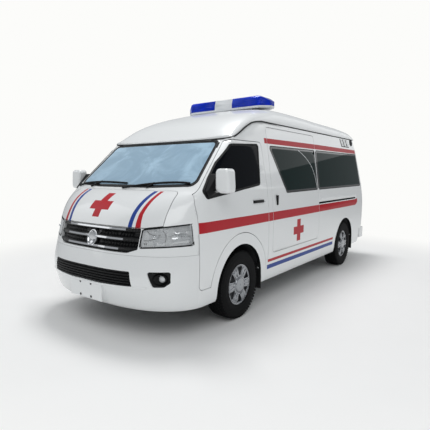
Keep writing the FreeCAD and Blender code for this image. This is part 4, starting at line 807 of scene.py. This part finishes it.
def tyre_piece(end, axle_y, side, way):
    """Tyre that stands for its faceted solid."""
    centre = Vector((way * wheel_x, axle_y, tyre_radius))
    half = tyre_width / 2
    tread = tyre_radius - 0.0085
    outline = [(-0.84, 0.2035), (-0.93, 0.2075), (-0.955, 0.214), (-0.945, 0.219), (-0.985, 0.236), (-0.997, 0.262),
               (-0.992, 0.270), (-1.0, 0.2705), (-0.998, 0.278), (-0.985, 0.2785), (-0.965, 0.305), (-0.95, 0.3055),
               (-0.92, 0.322), (-0.84, 0.3335), (-0.72, tread), (0.0, tread + 0.0008)]
    outline = outline + [(-across, radius) for across, radius in reversed(outline[:-1])]
    steps = 96
    points, faces = turned([(across * half, radius) for across, radius in outline], centre, (1, 0, 0), steps)
    last = (len(outline) - 1) * steps
    faces = faces[:-2] + [(k, (k + 1) % steps, last + (k + 1) % steps, last + k) for k in range(steps)]
    places = []
    # Height of the blocks' middle over the carcass, what the shoulder blocks lack of it and how they lean
    rise, lack, lean, block_high = 0.0038, 0.0022, 0.16, 0.0092
    # Rows of blocks across the tread: place, width, length, number round the tyre and skew
    rows = [(-0.80, 0.030, 0.020, 64, 0.22), (-0.405, 0.027, 0.019, 64, 0.55), (0.0, 0.029, 0.0165, 64, -0.4),
            (0.405, 0.027, 0.019, 64, -0.55), (0.80, 0.030, 0.020, 64, -0.22)]
    for number, (across, width, length, count, skew) in enumerate(rows):
        shoulder = abs(across) > 0.7
        up = tread + rise - (lack if shoulder else 0.0)
        roll = math.copysign(lean, across) if shoulder else 0.0
        for k in range(count):
            turn = 2 * math.pi * (k + 0.5 * (number % 2)) / count
            out = Vector((0, math.sin(turn), math.cos(turn)))
            spin = Matrix.Rotation(-turn, 3, "X") @ Matrix.Rotation(roll, 3, "Y") @ Matrix.Rotation(skew, 3, "Z")
            places.append((centre + Vector((across * half, 0, 0)) + out * up, spin.to_euler(),
                           (width, length, block_high)))
    piece = repeated("tyre_" + end + "_" + side + "_moulded", block, places, "wheel_" + end + "_" + side, "tyre", 30.0,
                     (points, faces))
    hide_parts("tyre_" + end + "_" + side)


for end, axle_y in (("front", front_axle_y), ("rear", rear_axle_y)):
    for side, way in sides:
        tyre_piece(end, axle_y, side, way)


# Rubber round the glass and the headlamp lenses: name, pane, view, body, width, height and spacing

for name, pane, view, body, width, height, spacing in (
        ("windscreen_rubber", "windscreen", front_view, "body", 0.020, 0.0035, 0.02),
        ("tailgate_glass_rubber", "tailgate_glass", rear_view, "rear_door", 0.018, 0.0035, 0.02),
        ("door_window_rubber_left", "door_glass_left", left_view, "door_left", 0.024, 0.0035, 0.012),
        ("door_window_rubber_right", "door_glass_right", right_view, "door_right", 0.024, 0.0035, 0.012),
        ("side_glass_rubber_left", "side_glass", left_view, "body", 0.010, 0.002, 0.012),
        ("side_glass_rubber_right", "side_glass", right_view, "body", 0.010, 0.002, 0.012),
        ("headlamp_rim_seals", "headlamp_lenses", front_view, "body", 0.006, 0.0015, 0.02)):
    strips(name, rims(pane, view, spacing), width, height, body, "seal", True)

# Gutter along the roof's edge, on the top edge of the side panels
gutter_line = [(-1.700, 1.7600), (-1.62, 1.7795), (-1.55, 1.800), (-1.480, 1.822), (-1.40, 1.858), (-1.329, 1.894),
               (-1.24, 1.938), (-1.130, 1.980), (-1.04, 2.000), (-0.915, 2.0135), (0.0, 2.0135), (1.2, 2.0135),
               (2.30, 2.0135)]
places = []
for a, b in zip(gutter_line, gutter_line[1:]):
    a, b = Vector(a), Vector(b)
    steps = max(1, round((b - a).length / 0.04))
    places += [a.lerp(b, k / steps) - Vector((0, 0.009)) for k in range(steps)]
gutter = [(point + Vector((0, 0, 0.006)), normal)
          for point, normal in landed(skin("side_panel_left", "front_panel", "sliding_door"), left_view, places)]
strips("roof_gutter_rubber", both([gutter]), 0.015, 0.004, "body", "seal", sunk=0.006)

# Slim bright frame of the sliding door's inner window, seen through the glass, and the print beside it
pane_tree = skin("side_glass", "sliding_door", "side_panel_left")
bow = [(-0.040, 1.738), (0.030, 1.714), (0.097, 1.686), (0.165, 1.658), (0.227, 1.624), (0.285, 1.587), (0.332, 1.548),
       (0.370, 1.507), (0.400, 1.462), (0.425, 1.415), (0.442, 1.365), (0.452, 1.315), (0.457, 1.258)]
strips("sliding_window_frame", [spaced(landed(pane_tree, left_view, bow), 0.02)], 0.008, 0.002, "body", "white_abs")
divider = landed(pane_tree, left_view, [(0.518, 1.745), (0.518, 1.255)])
strips("window_divider_trim", [spaced(divider, 0.05)], 0.016, 0.002, "body", "frit")

# Slot high on each windscreen pillar
slot = landed(skin("front_panel"), front_view, [(0.7385, 1.748), (0.7415, 1.735), (0.7455, 1.715), (0.7495, 1.692)])
strips("pillar_slot_trim", both([slot]), 0.013, 0.002, "body", "seal")


# Vents high at the rear of each side: slanted fins with black strips between them, painted as the shade of a recess,
# and a round outlet behind them

def vents():
    """Fins, black slots of painted shade, foot and outlet on both sides."""
    tree = skin("side_panel_left")
    rake = 0.55
    fins = [landed(tree, left_view, [(1.600 + 0.066 * k + (1.995 - z) * rake, z) for z in (1.990, 1.955, 1.920, 1.885)])
            for k in range(6)]
    strips("side_vent_fins", both(fins[1::2]), 0.030, 0.007, "body", "enamel")
    # Painted shade: flat black strips between the fins stand for the dark recess of the vent
    strips("side_vent_slots", both(fins[::2]), 0.030, 0.0022, "body", "black_plastic")
    foot = landed(tree, left_view, [(1.645 + 0.02 * k, 1.878) for k in range(19)])
    strips("side_vent_foot", both([foot]), 0.012, 0.004, "body", "seal")
    outlets = both([landed(tree, left_view, [(2.131, 1.958)])])
    fitting("side_outlet", [turned([(-0.004, 0.054), (0.007, 0.054), (0.009, 0.050), (0.009, 0.044), (0.003, 0.040),
                                    (0.003, 0.014), (0.006, 0.010)], *run[0]) for run in outlets],
            "body", "black_plastic")


vents()


# Mirror glass with a bevelled edge, on the rear face of each mirror's head

def mirror_glass(side, way):
    """Glass in the head's own outline, moved in."""
    inner, foot, wide, high, rear_face = half_width + 0.015, 1.278, 0.150, 0.214, -1.903
    head = [(0.0, 0.10), (0.0, 1.0), (0.92, 1.0), (1.0, 0.30), (0.98, 0.0), (0.35, 0.0)]
    outline = rounded(moved_in([(inner + a * wide, foot + b * high) for a, b in head], 0.014), 0.028)
    middle = sum((Vector(p) for p in outline), Vector((0, 0))) / len(outline)
    points = []
    for out, share in ((-0.002, 1.0), (0.0012, 1.0), (0.0022, 1 - 0.0025 / 0.06)):
        for p in outline:
            q = middle + (Vector(p) - middle) * share
            points.append(Vector((way * q.x, rear_face + out, q.y)))
    mesh_piece("mirror_glass_" + side, points, lofted(3, len(outline)), "door_" + side, "mirror", 30.0)


for side, way in sides:
    mirror_glass(side, way)


# Inside the headlamps and fog lamps

def lamp_insides():
    """Bulbs with their shields, black strips painted as shadow lines on the silver moulding, indicator windows and side
    reflectors.
    """
    tree = skin("headlamps")
    bulbs, shields = [], []
    for bowl, size in ((low_bowl, 1.0), (side_bowl, 0.55)):
        place = landed(tree, front_view, [bowl])[0][0]
        for parts, outline in ((bulbs, ((0.0, 0.012 * size), (0.018 * size, 0.013 * size), (0.040 * size, 0.012 * size),
                                        (0.050 * size, 0.007 * size), (0.053 * size, 0.001))),
                               (shields, ((0.034 * size, 0.0135 * size), (0.050 * size, 0.0135 * size),
                                          (0.056 * size, 0.010 * size), (0.058 * size, 0.002)))):
            parts.append(turned(outline, place, (0, -1, 0), 20))
    on_both_sides("headlamp_bulbs", bulbs, "body", "clear_lens")
    on_both_sides("headlamp_bulb_shields", shields, "body", "reflector")
    # Painted shadow: gloss black strips laid on the silver moulding where its shadow lines fall
    painted_shadow_runs = []
    for curve in ([(0.578, 0.958), (0.600, 0.940), (0.628, 0.930), (0.660, 0.926), (0.690, 0.932)],
                  [(0.566, 0.880), (0.600, 0.882), (0.640, 0.894), (0.668, 0.910)],
                  [(0.700, 0.968), (0.722, 0.940), (0.732, 0.905), (0.728, 0.872)],
                  [(0.571, 0.862), (0.578, 0.845)], [(0.584, 0.866), (0.592, 0.846)]):
        run = landed(tree, front_view, curve)
        if len(run) > 1:
            painted_shadow_runs.append([(p + n * 0.001, n) for p, n in spaced(run, 0.006)])
    strips("headlamp_shadow_lines", both(painted_shadow_runs), 0.008, 0.004, "body", "gloss_black")
    upper, lower = [landed(tree, front_view, [(x, z + (x - 0.77) * rise)
                                              for x in (0.772, 0.79, 0.81, 0.83, 0.85, 0.87, 0.888)])
                    for z, rise in ((0.985, 0.12), (0.885, 0.05))]
    strips("headlamp_indicator_windows", both([upper]), 0.062, 0.014, "body", "indicator")
    strips("headlamp_side_reflectors", both([lower]), 0.060, 0.010, "body", "reflector")


def fog_glass():
    """Domed glass and cup-shaped reflector of each fog lamp."""
    tree = skin("fog_lamps")
    place, rim = [landed(tree, front_view, [(fog_centre[0] + across, fog_centre[1])])[0][0]
                  for across in (0.0, fog_radius - 0.002)]
    way = Vector((0.28, -0.95, 0.0))
    at = Vector((place.x, rim.y - 0.001, place.z))
    on_both_sides("fog_lamp_glass", [turned([(-0.012, 0.031), (0.001, 0.0315), (0.005, 0.028), (0.009, 0.018),
                                             (0.010, 0.005)], at, way, 28)], "body", "clear_lens")
    on_both_sides("fog_lamp_reflector", [turned([(-0.024, 0.010), (-0.015, 0.024), (-0.011, 0.0305)], at, way, 28)],
                  "body", "reflector")


lamp_insides()
fog_glass()


# Mud flaps: rubber sheets that follow the rear of each wheel arch, each held by two screws

def mud_flaps():
    """Sheets with a slight wave, and their screws."""
    sheets, screws = [], []
    high, wide, thick, screw = 22, 11, 0.005, 0.016

    def arch_rear(axle_y, z):
        return axle_y + math.sqrt(arch_radius ** 2 - max(0.0, z - tyre_radius) ** 2)

    heights = [0.217 + 0.0135 * k for k in range(high)]
    count = wide * high
    faces = []
    for i in range(high - 1):
        for a in range(i * wide, i * wide + wide - 1):
            b = a + count
            faces += [(a, a + 1, a + wide + 1, a + wide), (b + wide, b + wide + 1, b + 1, b)]
    ring = (list(range(wide)) + [i * wide + wide - 1 for i in range(1, high)]
            + [count - 2 - k for k in range(wide - 1)] + [i * wide for i in range(high - 2, 0, -1)])
    faces += [(a, b, b + count, a + count) for a, b in zip(ring, ring[1:] + ring[:1])]
    for axle_y in (front_axle_y, rear_axle_y):
        for way in (-1, 1):
            sheets.append(([Vector((way * (0.708 + 0.0224 * k),
                                    arch_rear(axle_y, z) - 0.0075 - out + 0.0012 * math.sin(z * 60), z))
                            for out in (0.0, thick) for z in heights for k in range(wide)], faces))
            screws += [(Vector((way * x, arch_rear(axle_y, 0.445) - 0.013, 0.445)), (math.pi / 2, 0, 0), [screw] * 3)
                       for x in (0.80, 0.90)]
    fitting("mud_flap_sheets", sheets, "body", "flap", 35.0, ("mud_flaps",))
    repeated("mud_flap_screws", dome, screws, "body", "reflector")


mud_flaps()


# Front details: plain badge plate, grommets in the plate holes, bumper crease, wiper blades

def badge():
    """Crowned oval plate in the grille's ring."""
    centre, half_wide, half_high, crown, lift, steps = (0.0, 0.869), 0.050, 0.056, 0.004, 0.001, 40
    front = landed(skin("grille_bars"), front_view, [centre])[0][0].y - lift
    points = []
    for share, out in ((1.0, -0.004), (1.0, 0.0), (0.94, 0.35 * crown), (0.8, 0.62 * crown), (0.55, 0.85 * crown),
                       (0.25, 0.97 * crown)):
        for k in range(steps):
            turn = 2 * math.pi * k / steps
            points.append(Vector((centre[0] + half_wide * share * math.cos(turn), front - out,
                                  centre[1] + half_high * share * math.sin(turn))))
    mesh_piece("plain_badge_plate", points, lofted(6, steps), "body", "chrome", 50.0)


badge()

holes = [(x, -2.685, z) for x in (-0.075, 0.075) for z in (0.345, 0.465)]
fitting("plate_hole_grommets", [turned([(-0.006, 0.0066), (0.0010, 0.0118), (0.0014, 0.0110), (0.0014, 0.0056),
                                        (-0.003, 0.0048), (-0.004, 0.001)], hole, (0, -1, 0), 20) for hole in holes],
        "body", "black_plastic")

crease = landed(skin("front_bumper"), front_view, [(x * 0.03, 0.478 + 0.0009 * abs(x)) for x in range(-22, 23)])
strips("bumper_crease", [crease], 0.022, 0.0045, "body", "bumper")


def wiper_blades():
    """Blades on the two wipers' straight lines, laid on the windscreen from above."""
    tree = skin("windscreen", "bonnet", "front_panel")
    blades, steps, up = [], 16, 0.004
    for near, far in ((Vector((0.0113, -2.152)), Vector((-0.799, -2.1143))),
                      (Vector((0.7426, -2.082)), Vector((-0.0075, -2.2045)))):
        blade = []
        for k in range(steps + 1):
            x, y = near + (far - near) * (k / steps)
            point, normal, _, _ = tree.ray_cast(Vector((x, y, 3.0)), Vector((0, 0, -1)))
            blade.append((point + normal * up, normal))
        blades.append(blade)
    strips("wiper_blade_spoilers", blades, 0.016, 0.013, "body", "seal")


wiper_blades()


# Beacons under the blue lenses: white tray rails, and metallised reflectors on black posts

def beacons():
    """Three beacons and two tray rails on each side of the light bar's middle."""
    bases, cups, posts = [], [], []
    bar_y, floor_z, up = -0.320, 2.270, Vector((0, 0, 1))
    for way in (-1, 1):
        for x in (0.235, 0.365, 0.495):
            place = Vector((way * x, bar_y, floor_z))
            posts.append(turned([(0.0, 0.040), (0.010, 0.040), (0.014, 0.022), (0.044, 0.020), (0.048, 0.008)],
                                place, up, 24))
            cups.append(turned([(-0.020, 0.006), (-0.016, 0.022), (-0.004, 0.034), (0.014, 0.042), (0.012, 0.039),
                                (-0.006, 0.031), (-0.014, 0.010)], place + up * 0.058, (way * 0.35, -0.9, 0.0), 24))
        for end in (-1, 1):
            bases.append([(Vector((way * x, bar_y + end * y, floor_z - 0.0012)), up)
                          for x, y in ((0.14, 0.135), (0.30, 0.135), (0.48, 0.125))])
    fitting("beacon_reflectors", cups, "body", "reflector")
    fitting("beacon_posts", posts, "body", "black_plastic")
    strips("beacon_trays", bases, 0.016, 0.014, "body", "white_abs")


beacons()


# Seats: cushions blown up by cloth pressure from a slightly smaller block, then quilted

def cushion(name, low, high, channels, channel_axis):
    """Padded cushion in a box of space, with sewn channels across it."""
    size = Vector(high) - Vector(low)
    middle = (Vector(high) + Vector(low)) / 2
    limits = size / 2
    swell, seam_reach, seam_depth = 0.010, 0.03, 0.10
    scene = bpy.context.scene

    def evaluated():
        return bpy.data.meshes.new_from_object(piece.evaluated_get(bpy.context.evaluated_depsgraph_get()))

    mesh = bpy.data.meshes.new(name)
    work = bmesh.new()
    bmesh.ops.create_cube(work, size=1.0)
    for v in work.verts:
        v.co = Vector([share * (width - swell * 2) for share, width in zip(v.co, size)])
    bmesh.ops.bevel(work, geom=work.edges[:], offset=min(size) * 0.22, segments=4, profile=0.5, affect="EDGES")
    work.to_mesh(mesh)
    work.free()
    piece = bpy.data.objects.new(name, mesh)
    scene.collection.objects.link(piece)
    remesh = piece.modifiers.new("Remesh", "REMESH")
    remesh.mode = "VOXEL"
    remesh.voxel_size = 0.016
    flat = evaluated()
    piece.modifiers.remove(remesh)
    piece.data = flat
    start = [v.co.copy() for v in flat.vertices]
    cloth = piece.modifiers.new("Cloth", "CLOTH")
    cloth.settings.use_pressure = True
    cloth.settings.uniform_pressure_force = 4.0
    cloth.settings.effector_weights.gravity = 0.0
    for number in range(1, 21):
        scene.frame_set(number)
    blown = evaluated()
    piece.modifiers.remove(cloth)
    piece.data = blown
    scene.frame_set(1)
    for v, before in zip(piece.data.vertices, start):
        move = v.co - before
        if move.length > swell:
            v.co = before + move.normalized() * swell
        for axis in range(3):
            v.co[axis] = max(-limits[axis], min(limits[axis], v.co[axis]))
        reach = [abs(v.co[axis]) / limits[axis] for axis in range(3)]
        for place in channels:
            away = abs(v.co[channel_axis] - place)
            if away < seam_reach:
                v.co *= 1 - seam_depth * (1 - away / seam_reach) ** 2 * min(1.0, max(reach))
        v.co = v.co + middle
    piece.data.name = name
    subdivide = piece.modifiers.new("Smooth", "SUBSURF")
    subdivide.levels = subdivide.render_levels = 1
    smooth = evaluated()
    piece.modifiers.remove(subdivide)
    piece.data = smooth
    piece.data.materials.clear()
    finish_piece(piece, "body", [paint["cloth"]], 60.0)
    return piece


def seats():
    """Cushions in the places of the plain seat blocks: cab seats and backs, and the patient bench in three."""
    for who, x0, x1, channels in (("driver", -0.650, -0.150, (-0.13, 0.13)),
                                  ("passenger", -0.090, 0.780, (-0.30, 0.0, 0.30))):
        cushion(who + "_seat_cushion", (x0, -1.600, 0.9003), (x1, -1.121, 1.030), channels, 0)
        cushion(who + "_seat_back", (x0, -1.1195, 0.9003), (x1, -0.9998, 1.540), channels, 0)
    bench_front, bench_part, gap = -0.250, 2.2 / 3, 0.002
    for number in range(3):
        y0 = bench_front + number * bench_part
        cushion("bench_cushion_%d" % (number + 1), (-0.835, y0 + gap, 1.0503),
                            (-0.405, y0 + bench_part - gap, 1.1403), (-0.12, 0.12), 1)
    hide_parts("seats")


seats()


# Rear details: blank plate on the tailgate, handle with its garnish, high brake lamp and rear wiper

def rear_details():
    """Everything that is fixed to the tailgate and its glass."""
    tree = skin("tailgate", "tailgate_glass", "rear_bumper")
    flat = rounded([(-0.235, 0.760), (0.235, 0.760), (0.235, 0.890), (-0.235, 0.890)], 0.012)
    ends = [point for point, _ in landed(tree, rear_view, flat)]
    out = max(point.y for point in ends) + 0.003
    points = [Vector((p.x, y, p.z)) for y in (out - 0.008, out) for p in ends]
    mesh_piece("blank_rear_plate", points, lofted(2, len(ends)), "rear_door", "white_abs", 30.0)
    for name, half, z, steps, width, height, material in (
            ("tailgate_handle_garnish", 0.32, 0.945, 20, 0.046, 0.022, "enamel"),
            ("tailgate_handle_grip", 0.09, 0.922, 10, 0.014, 0.016, "black_plastic"),
            ("high_brake_lamp", 0.13, 1.895, 10, 0.026, 0.014, "red_lens")):
        run = landed(tree, rear_view, [(half * (2 * k / steps - 1), z) for k in range(steps + 1)])
        strips(name, [run], width, height, "rear_door", material)
    pivot, tip = Vector((0.0, 1.235)), Vector((-0.40, 1.300))
    arm = landed(tree, rear_view, [pivot.lerp(tip, k / 12) for k in range(13)])
    strips("rear_wiper_arm", [[(point + normal * 0.004, normal) for point, normal in arm]], 0.014, 0.012, "rear_door",
           "black_plastic", sunk=0.006)
    at = landed(tree, rear_view, [pivot])[0][0]
    fitting("rear_wiper_pivot", [turned([(-0.004, 0.022), (0.008, 0.022), (0.016, 0.017), (0.018, 0.005)], at,
                                        (0, 1, 0), 24)], "rear_door", "black_plastic")


rear_details()


# Side details: rim of each front door's handle cup, and door lock

for side, way in sides:
    view, body = (left_view, right_view)[way < 0], "door_" + side
    tree = skin("front_door_" + side)
    ring = rounded([(-1.285, 1.125), (-1.055, 1.135), (-1.055, 1.198), (-1.285, 1.192)], 0.028, 8)
    strips("door_handle_cup_rim_" + side, [landed(tree, view, ring)], 0.007, 0.0022, body, "enamel", True)
    lock = landed(tree, view, [(-1.030, 1.150)])[0][0]
    fitting("door_lock_" + side, [turned([(-0.003, 0.010), (0.0016, 0.010), (0.0026, 0.007), (0.0026, 0.002)], lock,
                                         (way, 0, 0), 20)], body, "reflector")


# Studio

def put(name, data, place, way):
    """Object at a place in the scene that looks along a direction."""
    made = bpy.data.objects.new(name, data)
    made.location = place
    made.rotation_euler = way.to_track_quat("-Z", "Y").to_euler()
    bpy.context.scene.collection.objects.link(made)
    return made


def studio():
    """Pale floor, soft lamps, pale surroundings and the photograph's camera."""
    scene = bpy.context.scene
    paper = {"Color": colour("#FCFCFA"), "Strength": 1.0}
    floor_mesh = bpy.data.meshes.new("Studio_floor")
    half = 60.0
    floor_mesh.from_pydata([(-half, -half, 0), (half, -half, 0), (half, half, 0), (-half, half, 0)], [], [(0, 1, 2, 3)])
    floor = bpy.data.objects.new("Studio_floor", floor_mesh)
    scene.collection.objects.link(floor)
    # The floor fades into plain white away from the vehicle, for the camera alone
    material = surface("Pale_studio_floor", "#F6F6F5", 0.9)
    grain(material, 0.4, 0.02, 0.001, "#F8F8F7", 2.0)
    floor_mesh.materials.append(material)
    tree = material.node_tree
    place = node(tree, "ShaderNodeTexCoord")
    reach = node(tree, "ShaderNodeVectorMath", {}, {0: place.outputs["Object"]}, operation="LENGTH")
    far = node(tree, "ShaderNodeMapRange", {"From Min": 2.9, "From Max": 5.6}, {"Value": reach.outputs["Value"]},
               interpolation_type="SMOOTHSTEP")
    rays = node(tree, "ShaderNodeLightPath")
    seen = node(tree, "ShaderNodeMath", {}, {0: far.outputs["Result"], 1: rays.outputs["Is Camera Ray"]},
                operation="MULTIPLY")
    white = node(tree, "ShaderNodeEmission", paper)
    mix = node(tree, "ShaderNodeMixShader", {}, {"Fac": seen.outputs["Value"],
                                                 1: tree.nodes["Principled BSDF"].outputs["BSDF"],
                                                 2: white.outputs["Emission"]})
    tree.links.new(mix.outputs["Shader"], tree.nodes["Material Output"].inputs["Surface"])

    # The camera sees white paper, and everything else a pale blue-grey room
    world = bpy.data.worlds.new("Studio_surroundings")
    scene.world = world
    world.use_nodes = True
    tree = world.node_tree
    around = tree.nodes["Background"]
    around.inputs["Color"].default_value = colour("#EEF1F4")
    around.inputs["Strength"].default_value = 0.45
    backdrop = node(tree, "ShaderNodeBackground", paper)
    rays = node(tree, "ShaderNodeLightPath")
    mix = node(tree, "ShaderNodeMixShader", {}, {"Fac": rays.outputs["Is Camera Ray"], 1: around.outputs["Background"],
                                                 2: backdrop.outputs["Background"]})
    tree.links.new(mix.outputs["Shader"], tree.nodes["World Output"].inputs["Surface"])

    middle = Vector((0, 0, 0.9))
    for name, place, size, power in (("Key", (4.5, -7.0, 6.5), 5.0, 165.0), ("Fill", (-6.0, -5.0, 5.0), 5.0, 60.0),
                                     ("Top", (-1.1, 0.9, 9.0), 2.6, 400.0), ("Back", (3.0, 8.0, 5.0), 5.0, 60.0)):
        lamp = bpy.data.lights.new(name, "AREA")
        lamp.size = size
        lamp.energy = power
        put(name, lamp, place, middle - Vector(place))

    camera = bpy.data.cameras.new("Camera")
    camera.sensor_width = 36.0
    camera.lens = camera_lens
    camera.shift_x, camera.shift_y = camera_shift
    camera.clip_end = 200.0
    scene.camera = put("Camera", camera, camera_place, camera_way)
    scene.view_settings.view_transform = "Standard"


studio()
